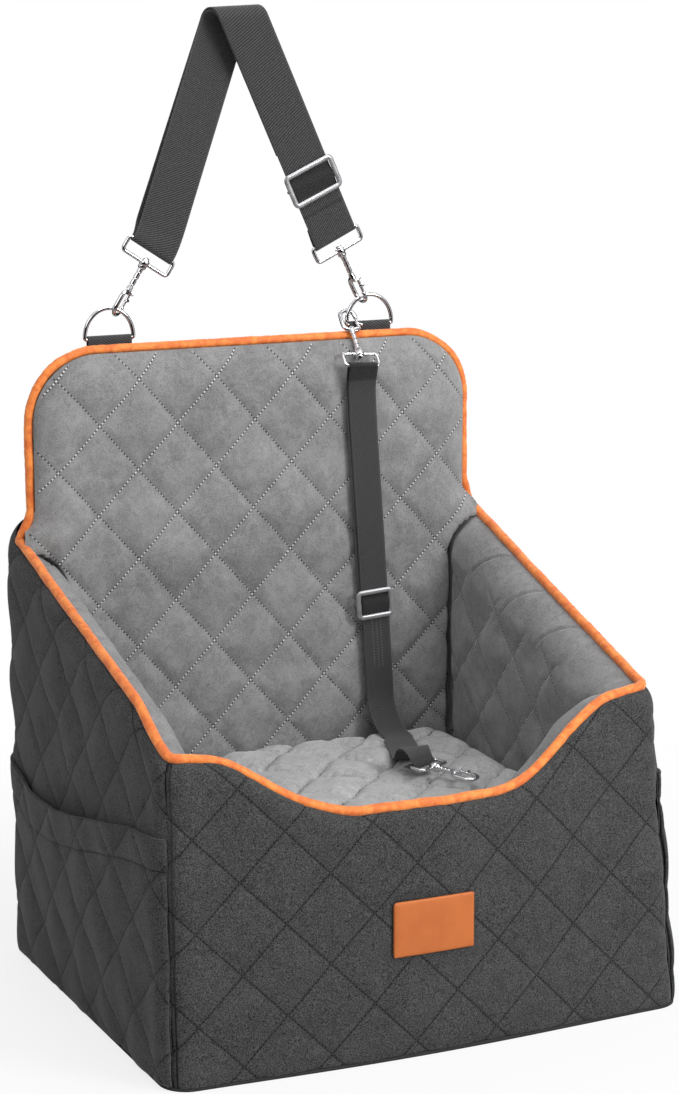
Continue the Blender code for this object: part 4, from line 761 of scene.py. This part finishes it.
PALE_PILE = {
    "Dark": (0.20, 0.20, 0.201, 1),
    "Light": (0.54, 0.54, 0.542, 1),
    "Yarn": (0.66, 0.66, 0.66, 1),
}
ACROSS, DEEP = 5, 4
CUSHION_EDGE, CUSHION_CROWN, CUSHION_FOOT, CUSHION_INSET, CUSHION_REAR = 0.168, 0.029, 0.1455, 0.049, 0.1615
PULL_IN, CORNER_PULL = 0.004, 0.035
c, r = np.meshgrid(np.linspace(0, ACROSS, 210), np.linspace(0, DEEP, 170))
cu, cv = 2 * c / ACROSS - 1, 2 * r / DEEP - 1
corner_x, corner_y = plan(np.array(2.0), CUSHION_EDGE, CUSHION_INSET)
near = front_y(cu * corner_x, CUSHION_EDGE) + CUSHION_INSET
y = near + (CUSHION_REAR - near) * (cv * (1 - CORNER_PULL * cu**8) + 1) / 2
part = (y - corner_y) / (REAR_Y - corner_y)
width = half_width(part, CUSHION_EDGE) - CUSHION_INSET - PULL_IN * (1 - cv**2)
x = cu * width * (1 - CORNER_PULL * cv**8)
y = y - np.where(cv > 0, PULL_IN * (1 - cu**2), 0) * cv**2
edge = np.minimum(1 - np.abs(cu), 1 - np.abs(cv)) * 0.202
share = np.clip(edge / 0.030, 0, 1)
points = np.stack([x, y, CUSHION_EDGE + CUSHION_CROWN * np.sqrt(1 - (1 - share) ** 2)], -1)
u, v = c + r, c - r
height = quilt_height(u, v, points, 81, puff=0.0042, pinch=0.0052, pucker=0.0011) * share
height += (0.0018 * waves(points, 85, 0.09) + 0.0013 * waves(points, 87, 0.035)) * share
points[..., 2] += height
across = points[..., 0] - 0.088 - 0.045 * smooth((points[..., 1] + 0.019) / 0.16)
pressed = (1 - smooth((np.abs(across) - 0.020) / 0.012)) * smooth((points[..., 1] + 0.045) / 0.03)
points[..., 2] -= pressed * np.maximum(0, points[..., 2] - 0.1992)
ring = np.concatenate([points[0], points[1:, -1], points[-1, -2::-1], points[-2:0:-1, 0]])
toward = (np.array([0, -0.02, 0]) - ring) * [1, 1, 0]
toward /= np.linalg.norm(toward, axis=1, keepdims=True)
skirt = []
for drop, tuck in ((1.0, 0.0), (0.75, -0.0015), (0.5, -0.002), (0.25, 0.0), (0.0, 0.004)):
    low = ring + toward * tuck
    low[:, 2] = CUSHION_FOOT + (ring[:, 2] - CUSHION_FOOT) * drop
    skirt.append(low)
skirt.append(skirt[-1] * 0.2 + skirt[-1].mean(axis=0) * 0.8)
cushion = grid_mesh("seat_cushion_cover", points, values=stacked(u, v))
around = np.array(skirt)
sides = grid_mesh("seat_cushion_sides", around, values=np.full(around.shape, 0.5), closed=True, flip=True)
with bpy.context.temp_override(active_object=cushion, selected_editable_objects=[cushion, sides]):
    bpy.ops.object.join()
padded_velvet(cushion, GREY, "cushion", "seat_cushion", "booster_foam", fill=0.7, pile=PALE_PILE)


# Side pockets
# A shell of quilted velvet on each side, sewn at its foot and ends, with a hem along its mouth.

POCKET_SEAM, POCKET_FOOT = 1.57, 0.0036
HEM_FRONT, HEM_LOW, HEM_REAR = 0.226, 0.187, 0.207
for word, side in (("left", -1), ("right", 1)):
    s = dense((POCKET_SEAM, 2, 6), (2, 3, 100), (3, 3.75, 10))
    along = np.linspace(0, 1, len(s))
    ends = np.sin(pi * along) ** 1.4
    hem = HEM_FRONT + (HEM_LOW - HEM_FRONT) * np.where(along < 0.7, smooth(along / 0.7), 1.0)
    hem = hem + (HEM_REAR - hem) * smooth((along - 0.75) / 0.25)
    up = np.linspace(0, 1, 74)[:, None]
    z = POCKET_FOOT + (hem[None, :] - POCKET_FOOT) * up
    off = 0.0028 + 0.008 * ends[None, :] * np.sin(pi / 2 * up)
    x, y = plan(s[None, :] + 0 * z, z, -off)
    points = spread(np.stack([side * x, y, z], -1))
    run = lengths(points, 1).mean(axis=0, keepdims=True) + 0 * z
    below = hem[None, :] - z
    u, v = diamonds(run + 0.271, z - QUILT_RISE)
    line = 0.029 + 0.006 * smooth(along)[None, :]
    height = quilt_height(u, v, points, 91 + side, *COVER_QUILT) + 0.0018 * waves(points, 95 + side, 0.09)
    height -= 0.0010 * bell(below - line, 0.0025) + 0.0008 * bell(below - 0.004, 0.0012)
    height -= 0.0025 * np.exp(-z / 0.004)
    quilt = stacked(u, v, np.clip((below - line) / (LINE_SPACING / 1000), -0.5, 0.5))
    obj = grid_mesh(f"{word}_pocket_cover", lifted(points, side * height), values=quilt, flip=side < 0)
    thicken(obj, 0.0026, -1)
    padded_velvet(obj, DARK, f"{word}_pocket", f"{word}_pocket", fill=0.3)


# Label
# A bare patch of orange imitation leather, glued and pressed down at its edge.

LABEL_HALF_X, LABEL_HALF_Z, LABEL_CORNER = 0.0405, 0.026, 0.003
x, z = np.meshgrid(LABEL_HALF_X * np.linspace(-1, 1, 82), LABEL_HALF_Z * np.linspace(-1, 1, 54))
flat_x, flat_z = LABEL_HALF_X - LABEL_CORNER, LABEL_HALF_Z - LABEL_CORNER
over_x, over_z = np.maximum(0, np.abs(x) - flat_x), np.maximum(0, np.abs(z) - flat_z)
reach = np.hypot(over_x, over_z)
pull = np.where(reach > LABEL_CORNER, LABEL_CORNER / np.maximum(reach, 1e-9), 1)
x = np.sign(x) * np.where(over_x > 0, flat_x + over_x * pull, np.abs(x))
z = np.sign(z) * np.where(over_z > 0, flat_z + over_z * pull, np.abs(z))
edge = np.minimum(LABEL_HALF_X - np.abs(x), LABEL_HALF_Z - np.abs(z))
z = z + LABEL_Z
y = front_y(x, z) - 0.0036 + 0.0012 * np.exp(-edge / 0.0006) - 0.0006 * (1 - np.exp(-edge / 0.004))
label = grid_mesh("label_patch_leather", np.stack([x, y, z], -1))
thicken(label, 0.0016, -1)
material, shader = new_material("orange_leather", {})
where = coordinates(material.node_tree)
cloud = noise(where, 60.0, 4.0, 0.6)
mix(ramp(cloud, 0.3, 0.7), (0.49, 0.120, 0.020, 1), (0.53, 0.140, 0.025, 1)).into(shader["Base Color"])
ramp(cloud, 0.2, 0.8, 0.5, 0.62).into(shader["Roughness"])
emboss(shader, cell_noise(where, 1100.0), 0.25, 0.0003)
label.data.materials.append(material)
belongs(label, "body", "orange_label", "label_patch")


# Chrome
# Bright plating on the wire and the hooks, and a duller one on the cast slides; both are faintly uneven.

def plating(name, dull, bright, smoothest, roughest, metal):
    material, shader = new_material(name, {"Metallic": metal})
    uneven = noise(coordinates(material.node_tree), 90.0, 3.0, 0.6)
    mix(uneven, dull, bright).into(shader["Base Color"])
    ramp(uneven, 0.3, 0.7, smoothest, roughest).into(shader["Roughness"])
    return material


CHROME = plating("chrome_plate", (0.66, 0.66, 0.68, 1), (0.86, 0.86, 0.88, 1), 0.06, 0.14, 1.0)
CAST = plating("satin_cast_plate", (0.30, 0.30, 0.31, 1), (0.42, 0.42, 0.43, 1), 0.26, 0.40, 0.6)


def plated(obj, body, node, finish=CHROME):
    obj.data.materials.append(finish)
    belongs(obj, body, "chrome_steel", node)


# D-rings
# A bent wire each, its straight bar held in the tab.

WIRE, TAB_WEB, RING_RADIUS, RING_RISE, RING_FOOT = 0.002, 0.0015, 0.025, 0.028, 0.002
RING_Y = PANEL_Y + PIPING + GAP + TAB_WEB + GAP + WIRE
RING_BAR = ((-0.0244, 0.0006), (-0.0225, 0), (0, 0), (0.0225, 0), (0.0244, 0.0006))


def ring_arc(angle):
    return Vector((RING_RADIUS * cos(angle), 0, RING_FOOT + RING_RISE * sin(angle)))


def ring_centre(side):
    return Vector((side * 0.14 - 0.008, RING_Y, 0.6125))


for word, side in (("left", -1), ("right", 1)):
    line = [ring_arc(angle) for angle in angles(pi, 24)] + [Vector((x, 0, z)) for x, z in RING_BAR]
    rings = tube([tuple(p) for p in line], WIRE, cyclic=True, step=0.0012)
    ring = joined(f"{word}_d_ring_wire", [rings], Matrix.Translation(ring_centre(side)))
    plated(ring, f"{word}_ring", f"{word}_d_ring")


# Webbing
# A woven band through stations of (middle, half width vector, normal), with rounded edges.

FRONT, UP = Vector((0, -1, 0)), Vector((0, 0, 1))


def band(name, stations, thickness, shade_and_stitch_places=(), humps=()):
    flat = np.array([[*m, *w, *n] for m, w, n in stations], float)
    keep = [0] + [i for i in range(1, len(flat)) if np.linalg.norm(flat[i, :3] - flat[i - 1, :3]) > 1e-5]
    rows = resample(flat[keep], 0.0022)
    middle, wide, face = rows[:, :3], rows[:, 3:6], rows[:, 6:]
    face = face / np.linalg.norm(face, axis=1, keepdims=True)
    # Each listed place paints shade on the band near it, or, with an amount below 0, rows of stitches.
    painted_shade_or_stitching = np.zeros(len(middle))
    for point, reach, amount in shade_and_stitch_places:
        away = np.linalg.norm(middle - np.array(point), axis=1)
        painted_shade_or_stitching += amount * np.clip((reach - away) / 0.0022, 0, 1)
    for point, rise in humps:
        away = np.linalg.norm(middle - np.array(point), axis=1)
        near = bell(away, 0.0060) * (face[:, 1] < -0.5)
        middle = middle + face * rise * near[:, None]
    half = np.linalg.norm(wide, axis=1).mean()
    across = np.linspace(-1, 1, 13) * (1 - 0.4 * thickness / half)
    loop = [(a, 0.5) for a in across] + [(1.0, 0.35), (1.0, -0.35)]
    loop += [(a, -0.5) for a in across[::-1]] + [(-1.0, -0.35), (-1.0, 0.35)]
    along = np.concatenate([[0], np.cumsum(np.linalg.norm(np.diff(middle, axis=0), axis=1))])
    cells = np.stack([middle + wide * a + face * (b * thickness) for a, b in loop], 1)
    first, last = (cells[end] * 0.02 + middle[end, None] * 0.98 for end in (slice(None, 1), slice(-1, None)))
    cells = np.concatenate([first, cells, last])
    web = np.zeros(cells.shape)
    web[..., 0] = np.array([a for a, b in loop]) * half * 1000
    web[..., 1] = np.pad(along, 1, mode="edge")[:, None] * 1000
    web[..., 2] = np.pad(painted_shade_or_stitching, 1, mode="edge")[:, None]
    obj = grid_mesh(name, cells, attribute="web", values=web, closed=True)
    settings = {"Roughness": 0.72, "Sheen Weight": 0.2, "Specular IOR Level": 0.35}
    finish_of(obj, f"{name}_twill", WEBBING, settings, {"Width": half * 2000}, 0.6, 0.0007)
    return obj, along[-1]


def half_turn(middle, wide, first, second, reach, steps=6, begin=0):
    """Stations over half a turn, from the first direction through the second."""
    normals_round = [first * cos(angle) + second * sin(angle) for angle in angles(pi, steps, begin)]
    return [(middle + normal * reach, wide, normal) for normal in normals_round]


for word, side in (("left", -1), ("right", 1)):
    centre = ring_centre(side)
    around = WIRE + GAP + TAB_WEB / 2
    half = Vector((0.02225, 0, 0))
    stations = half_turn(centre, half, FRONT, UP, around, 12)
    for sign in (-1, 1):
        y = RING_Y + sign * around
        share = max(0.0, 1 - ((y + TAB_WEB / 2 - PANEL_Y) / PANEL_REAR) ** 2)
        foot = PANEL_TOP - PANEL_ROUND * (1 - sqrt(share)) + 0.0012
        station = (Vector((centre.x, y, foot)), half, Vector((0, sign, 0)))
        stations.insert(0 if sign < 0 else len(stations), station)
    tab, length = band(f"{word}_ring_tab_web", stations, TAB_WEB)
    belongs(tab, "body", "black_webbing", f"{word}_ring_tab")


# Snap hooks
# Each has a wire eye with a boss, a turned shank with a bow, and a gate with a thumb stud.

def frame_along(origin, toward_eye, across):
    z_axis = toward_eye.normalized()
    x_axis = (across - z_axis * across.dot(z_axis)).normalized()
    made = Matrix((x_axis, z_axis.cross(x_axis), z_axis)).transposed().to_4x4()
    made.translation = origin
    return made


def round_corners(half_x, half_z, bend, steps, step):
    """Places round a rounded frame and the way out at each, a corner at a time."""
    for sx, sz, start in ((1, 1, 0), (-1, 1, 90), (-1, -1, 180), (1, -1, 270)):
        for i in range(steps):
            angle = radians(start + step * i)
            out = np.array([cos(angle), 0, sin(angle)])
            yield np.array([sx * (half_x - bend), 0, sz * (half_z - bend)]) + bend * out, out


def snap_hook(prefix, place, turn, reach, eye_width, eye_height, eye_wire, bodies):
    near = reach - eye_height
    half, bend = eye_width / 2, eye_wire * 0.9
    middle = np.array([0, 0, near + eye_height / 2])
    corners = [middle + place_of for place_of, _ in round_corners(half, eye_height / 2, bend, 4, 30)]
    boss = [(0, near + 0.003), (0.0040, near + 0.003), (0.0047, near + 0.0022), (0.0048, near)]
    boss += [(0.0047, near - 0.0022), (0.0040, near - 0.003), (0, near - 0.003)]
    eye = joined(f"{prefix}_eye_wire", [tube(corners, eye_wire / 2, True, step=0.0011), turned(boss)], place)
    plated(eye, bodies[0], f"{prefix}_eye")
    collar, head, low, high = near - 0.0033, near + 0.0033, 0.0176, 0.022
    profile = [(0, head + 0.0024), (0.0016, head + 0.0023), (0.0029, head + 0.0014), (0.0033, head)]
    profile += [(0.0018, head), (0.0018, collar), (0.0036, collar), (0.0042, collar - 0.0006)]
    profile += [(0.0042, collar - 0.0018), (0.0034, collar - 0.0030), (0.0026, collar - 0.0036)]
    shank = collar - 0.0036 - high
    for g in range(3):
        z = collar - 0.0036 - shank * (g + 0.7) / 3.5
        profile += [(0.0026, z + 0.0009), (0.0019, z + 0.0004), (0.0019, z - 0.0004), (0.0026, z - 0.0009)]
    profile += [(0.0031, high), (0.0033, (high + low) / 2), (0.0028, low), (0, low - 0.0004)]
    top, limb = -0.0052, 0.0078
    bow = [(0, 0, low + 0.0031), (-limb * 0.7, 0, low + 0.0018), (-limb, 0, low - 0.0026)]
    for angle in angles(pi, 12):
        angle += pi
        bow.append((limb * cos(angle), 0, top + limb + limb * sin(angle)))
    bow.append((limb, 0, top + limb + 0.0013))
    pivot = low + 0.0022
    ear = [(0, 0, pivot), (limb * 0.5, 0, pivot), (limb + 0.0005, 0, pivot)]
    ears = []
    for shift in (-0.0020, 0.0020):
        ears.append(tube([(x, shift * min(1, x / limb * 1.4), z) for x, y, z in ear], 0.0011, step=0.001))
    pin = tube([(limb, -0.0030, pivot), (limb, 0, pivot), (limb, 0.0030, pivot)], 0.0011, step=0.001)
    swivel = place @ Matrix.Rotation(turn, 4, "Z")
    grids = [turned(profile), tube(bow, 0.0022, step=0.001), *ears, pin]
    plated(joined(f"{prefix}_body_cast", grids, swivel), bodies[1], f"{prefix}_body")
    drop = top + limb + 0.0013 + 0.0006
    nub = (pivot + drop) / 2
    gate = tube([(limb, 0, pivot), (limb + 0.0003, 0, nub), (limb, 0, drop)], 0.0014, step=0.001)
    stud = [(limb, 0, nub), (limb + 0.003, 0, nub + 0.0008), (limb + 0.0046, 0, nub + 0.0011)]
    stud = tube(stud, 0.0016, step=0.001)
    plated(joined(f"{prefix}_gate_bar", [gate, stud], swivel), bodies[2], f"{prefix}_gate")
    return place @ Vector((0, 0, reach))


def lean_vector(lean):
    return Vector((sin(lean), 0, cos(lean)))


def across_vector(lean):
    return Vector((cos(lean), 0, -sin(lean)))


LEFT_LEAN, RIGHT_LEAN = radians(33), radians(26)
STRAP_EYE = (0.0535, 0.0155, 0.0038)
ends = {}
for word, side, lean, turn in (("left", -1, LEFT_LEAN, 48), ("right", 1, -RIGHT_LEAN, -80)):
    arc = ring_arc(acos(0.009 / RING_RADIUS))
    contact = ring_centre(side) + Vector((-side * arc.x, 0, arc.z))
    place = frame_along(contact, lean_vector(lean), across_vector(lean))
    bodies = ("strap", "strap", f"{word}_gate")
    ends[word] = snap_hook(f"{word}_hook", place, radians(turn), 0.068, *STRAP_EYE, bodies)


# Headrest strap
# One length of webbing: up from the slider, over the turn, round the left eye and back over to the right eye.

STRAP_LEAN, STRAP_TILT, TURN, STRAP_WEB = radians(22.4), radians(2.5), 0.009, 0.0016
tilt = Matrix.Rotation(-STRAP_TILT, 4, "Y")
bars = {word: tilt.inverted() @ ends[word] for word in ends}
leans = {"left": LEFT_LEAN + STRAP_TILT, "right": STRAP_TILT - RIGHT_LEAN}
slope = tan(STRAP_LEAN)
half, layer, clear = 0.02375, 0.0024, STRAP_EYE[2] / 2 + GAP + STRAP_WEB / 2
eased = {}
for word, final in (("left", STRAP_LEAN), ("right", -STRAP_LEAN)):
    middles, turns = [bars[word].copy()], [leans[word]]
    for i in range(1, 5):
        now = leans[word] + (final - leans[word]) * (i - 0.5) / 4
        middles.append(middles[-1] + lean_vector(now) * 0.0065)
        turns.append(leans[word] + (final - leans[word]) * i / 4)
    eased[word] = (middles, turns)
start, finish = eased["left"][0][-1], eased["right"][0][-1]
turn_z = ((finish.x - start.x) / slope - pi * TURN + start.z + finish.z) / 2
level = Vector((half / cos(STRAP_LEAN), 0, 0))


def strand(word, way, apart, radius, sag):
    middles, turns = eased[word]
    found = []
    for i, (middle, lean) in enumerate(zip(middles, turns)):
        share = float(smooth(i / 4))
        y = RING_Y + apart + sag * share
        found.append((Vector((middle.x, y, middle.z)), across_vector(lean) * half, Vector((0, way, 0))))
    foot_y, top_y = found[-1][0].y, RING_Y + way * radius
    for i in range(1, 7):
        share = i / 6
        z = middles[-1].z + (turn_z - middles[-1].z) * share
        x = middles[-1].x + (slope if word == "left" else -slope) * (z - middles[-1].z)
        width = (across_vector(turns[-1]) * half).lerp(level, float(smooth(share * 1.5)))
        found.append((Vector((x, foot_y + (top_y - foot_y) * share, z)), width, Vector((0, way, 0))))
    return found


def over_top(radius):
    found = []
    for angle in angles(pi, 8, 1)[:-1]:
        x = start.x + slope * (turn_z - start.z) + slope * TURN * angle
        middle = Vector((x, RING_Y + radius * cos(angle), turn_z + radius * sin(angle)))
        found.append((middle, level, Vector((0, cos(angle), sin(angle)))))
    return found


def round_bar(word):
    wide = across_vector(leans[word]) * half
    return half_turn(bars[word], wide, -FRONT, -lean_vector(leans[word]), clear)


def turned_face(stations):
    return [(m, w, -n) for m, w, n in stations]


left_rear = strand("left", 1, clear, TURN + layer, 0.008)
left_front = strand("left", 1, -clear, TURN, 0.003)
right_front = strand("right", -1, -clear, TURN + layer, -0.001)
right_rear = strand("right", -1, clear, TURN, layer - 2 * clear - 0.001)
glide_z = bars["right"].z + 0.058
stations = turned_face([s for s in right_rear[1:] if s[0].z > glide_z])
stations += turned_face(over_top(TURN)[::-1]) + turned_face(left_front[:0:-1]) + round_bar("left")[::-1]
stations += left_rear[1:] + over_top(TURN + layer) + right_front[:0:-1] + round_bar("right")[::-1]
stations += turned_face(right_rear[1:4])
flat = tilt.to_3x3()
stations = [(tilt @ m, flat @ w, flat @ n) for m, w, n in stations]
share = (glide_z - finish.z) / (turn_z - finish.z)
top_y, foot_y = RING_Y - TURN - layer, RING_Y - clear - 0.001
glide = Vector((finish.x - slope * (glide_z - finish.z), foot_y + (top_y - foot_y) * share, glide_z))
tack = glide + Vector((slope, 0, -1)).normalized() * 0.030
# Painted shade: near black inside the slide, and darker in a narrow band at the tack.
shade_and_stitch_places = [(tilt @ glide, 0.0135, 1.0), (tilt @ tack, 0.0032, 0.7)]
strap, length = band("headrest_strap_web", stations, STRAP_WEB, shade_and_stitch_places, [(tilt @ glide, 0.0024)])
belongs(strap, "strap", "black_webbing", "headrest_strap")


# Tri-glides
# A cast frame before the webbing with a bar behind its middle.

def triglide(name, place, web_width, stack, height, wire, body, node):
    half = web_width / 2 + 0.0008 + wire / 2
    bend, tall = wire * 1.2, height / 2 - wire / 2
    front = -(stack / 2 + 0.0006 + wire / 2)
    frame_rings = []
    for middle, out in round_corners(half, tall, bend, 9, 11.25):
        middle[1] = front
        ring = []
        for a in angles(2 * pi, 20)[:-1]:
            flat = abs(cos(a)) ** 0.7 * copysign(1, cos(a))
            ring.append(middle + out * 0.82 * wire * flat + np.array([0, 0.5 * wire * sin(a), 0]))
        frame_rings.append(ring)
    frame_rings = np.array(frame_rings + frame_rings[:1])
    turn = bend / 2
    bar = [(-half, front, 0), (-half, -front - turn, 0), (-half + turn, -front, 0)]
    bar += [(-x, y, z) for x, y, z in bar[::-1]]
    plated(joined(name, [frame_rings, tube(bar, wire / 2, step=0.001)], place), body, node, finish=CAST)


way = Vector((-slope * (turn_z - finish.z), top_y - foot_y, turn_z - finish.z)).normalized()
place = tilt @ frame_along(glide + Vector((0, layer / 2, 0)), way, across_vector(-STRAP_LEAN))
stack = layer + STRAP_WEB
triglide("strap_triglide_cast", place, 0.0475, stack, 0.034, 0.0032, "strap_slider", "strap_triglide")


# Safety tether
# A hook on the right ring, webbing down the back panel and across the cushion, and a hook for the harness.

TETHER_HALF, TETHER_WEB, TETHER_FOOT, GLIDE_Z = 0.015, 0.0015, 0.245, 0.332
TETHER_EYE = (0.0365, 0.015, 0.0034)
contact = ring_centre(1) + ring_arc(radians(165))
lean, yaw = radians(47), radians(4.5)
way = Vector((-sin(yaw), -sin(lean) * cos(yaw), -cos(lean) * cos(yaw)))
top_place = frame_along(contact - way * 0.0052 * (1 / sin(lean) - 1), way, Vector((1, 0, 0)))
bar = snap_hook("tether_top", top_place, 0.0, 0.067, *TETHER_EYE, ("tether", "tether", "top_gate"))
end_bar = Vector((0.088, -0.019, 0.2115))
end_yaw = radians(22.8)
end_way = Vector((sin(end_yaw), -cos(end_yaw), 0))
bar_way = Vector((-end_way.y, end_way.x, 0))
tip = end_bar + end_way * 0.061 - Vector((0, 0, 0.0025))
end_place = frame_along(tip, end_bar - tip, bar_way)
bodies = ("tether", "end_hook", "end_gate")
snap_hook("tether_end", end_place, 0.0, (end_bar - tip).length, *TETHER_EYE, bodies)
layer, clear = 0.0023, TETHER_EYE[2] / 2 + GAP + TETHER_WEB / 2
run_x = bar.x + 0.002
down = Vector((TETHER_DRIFT, 0, -1)).normalized()
across_run = Vector((down.z, 0, -down.x)) * -TETHER_HALF


def on_run(z):
    return Vector((run_x + TETHER_DRIFT * (TETHER_TOP - z), 0.1545, z))


shift = Vector((-0.002, layer, 0))
stations = [(on_run(z) + shift, across_run, -FRONT) for z in (GLIDE_Z, 0.440, TETHER_TOP)]
stations += half_turn(bar, top_place.col[0].to_3d() * TETHER_HALF, -FRONT, UP, clear)
stations += [(on_run(z), across_run, FRONT) for z in (TETHER_TOP, 0.40, TETHER_FOOT)]
foot = on_run(TETHER_FOOT)
floor_z = 0.200 + GAP + TETHER_WEB / 2 + GAP
radius = TETHER_FOOT - floor_z
for angle in angles(pi / 2, 6, 1):
    middle = Vector((foot.x, foot.y - radius * (1 - cos(angle)), foot.z - radius * sin(angle)))
    stations.append((middle, Vector((TETHER_HALF, 0, 0)), Vector((0, -cos(angle), sin(angle)))))
path = [stations[-1][0]]
for i in range(1, 13):
    share = i / 12
    x = path[0].x + (end_bar.x - path[0].x) * float(smooth(0.15 + 0.85 * share))
    y = path[0].y + (end_bar.y - path[0].y) * share
    late = (share - 0.6) / 0.4
    hump = 0.013 * sin(pi * min(1.0, max(0.0, late)))
    path.append(Vector((x, y, floor_z + (end_bar.z + clear - floor_z) * float(smooth(late)) + hump)))
for i in range(1, 13):
    ahead = path[min(i + 1, 12)] - path[i - 1] if i < 12 else end_way
    level = Vector((ahead.x, ahead.y, 0)).normalized()
    wide = Vector((-level.y, level.x, 0)).lerp(bar_way, float(smooth((i / 12 - 0.7) / 0.3))).normalized()
    stations.append((path[i], wide * TETHER_HALF, ahead.cross(wide).normalized()))
stations += half_turn(end_bar, bar_way * TETHER_HALF, UP, end_way, clear, begin=1)
last = stations[-1][0]
stations += [(last - end_way * 0.012 * share, bar_way * TETHER_HALF, -UP) for share in (0.5, 1.0)]
glide = on_run(GLIDE_Z)
# Painted shade at the top hook's bar, in the slide and at the end hook's bar; the run at 0.290 gets rows of
# stitches instead.
shade_and_stitch_places = [(bar, 0.0165, 1.0), (glide, 0.0125, 1.0), (on_run(0.290), 0.026, -1.0), (end_bar, 0.009, 0.6)]
tether, length = band("tether_web", stations, TETHER_WEB, shade_and_stitch_places, [(glide, 0.0022)])
belongs(tether, "tether", "black_webbing", "tether_webbing")
place = frame_along(glide + shift / 2, -down, Vector((1, 0, 0)))
stack = layer + TETHER_WEB
triglide("tether_triglide_cast", place, 0.032, stack, 0.029, 0.0032, "tether_slider", "tether_triglide")


# Stage, light and camera
# A white floor that keeps a faint shadow, four soft lamps, and the camera fitted to the photograph.

WHITE = (1, 1, 1, 1)


def camera_or(tree, share, lit, seen, output):
    """Camera rays see one shader, by that share; everything else gets the lit one."""
    blend = node_of("ShaderNodeMixShader", (share, Signal(lit.outputs[0]), Signal(seen.outputs[0])))
    Signal(blend.outputs[0]).into(tree.nodes[output].inputs[0])


sheet_mesh = bpy.data.meshes.new("floor")
sheet_mesh.from_pydata([(-4, -4, 0), (4, -4, 0), (4, 4, 0), (-4, 4, 0)], [], [(0, 1, 2, 3)])
floor = bpy.data.objects.new("floor", sheet_mesh)
scene.collection.objects.link(floor)
material, shader = new_material("pale_floor", {"Base Color": (0.75, 0.75, 0.75, 1), "Roughness": 0.9})
tree = material.node_tree
away = node_of("ShaderNodeVectorMath", (coordinates(tree),), operation="LENGTH")
share = Signal(tree.nodes.new("ShaderNodeLightPath").outputs["Is Camera Ray"])
share = share * ramp(Signal(away.outputs["Value"]), 0.3, 1.1, 0.80, 1.0)
glow = tree.nodes.new("ShaderNodeEmission")
camera_or(tree, share, tree.nodes["Principled BSDF"], glow, "Material Output")
floor.data.materials.append(material)
floor.visible_glossy = False

# Chrome reflects bright cards in a dark room, and the camera sees white.
world = bpy.data.worlds.new("studio")
scene.world = world
world.use_nodes = True
tree = world.node_tree
around = tree.nodes["Background"]
around.inputs["Strength"].default_value = 0.42
white = tree.nodes.new("ShaderNodeBackground")
white.inputs["Color"].default_value = WHITE
rays = tree.nodes.new("ShaderNodeLightPath").outputs
look_x, look_y, look_z = split(coordinates(tree, "Generated"))
card = calc("MAXIMUM", ramp(look_z, 0.30, 0.42), ramp(look_z, -0.62, -0.46, 0.5, 0.0))
for x, y in ((0.81, -0.57), (-0.95, 0.26)):
    card = calc("MAXIMUM", card, ramp(look_x * x + look_y * y, 0.88, 0.93))
cards = mix(card, (0.035, 0.032, 0.03, 1), (1.7, 1.7, 1.7, 1))
mix(Signal(rays["Is Glossy Ray"]), WHITE, cards).into(around.inputs["Color"])
camera_or(tree, Signal(rays["Is Camera Ray"]), around, white, "World Output")

for name, place, power, size in (
    ("key", (1.15, -1.9, 1.35), 36, 0.9),
    ("fill", (-2.4, -1.2, 2.2), 13, 1.6),
    ("top", (0.2, -0.9, 2.7), 36, 1.6),
    ("rear", (0.6, 2.8, 2.0), 24, 1.6),
):
    lamp = bpy.data.lights.new(name, "AREA")
    lamp.energy = power
    lamp.size = size
    obj = bpy.data.objects.new(name, lamp)
    obj.location = place
    obj.rotation_euler = (Vector((0, 0, 0.35)) - Vector(place)).to_track_quat("-Z", "Y").to_euler()
    scene.collection.objects.link(obj)

camera = bpy.data.objects.new("camera", bpy.data.cameras.new("camera"))
scene.collection.objects.link(camera)
camera.location = (-1.086, -2.3545, 0.9645)
camera.rotation_euler = (radians(78.34), 0, radians(-24.92))
camera.data.sensor_fit = "VERTICAL"
camera.data.sensor_height = 36
camera.data.lens = 92.14
scene.camera = camera
scene.view_settings.view_transform = "Standard"
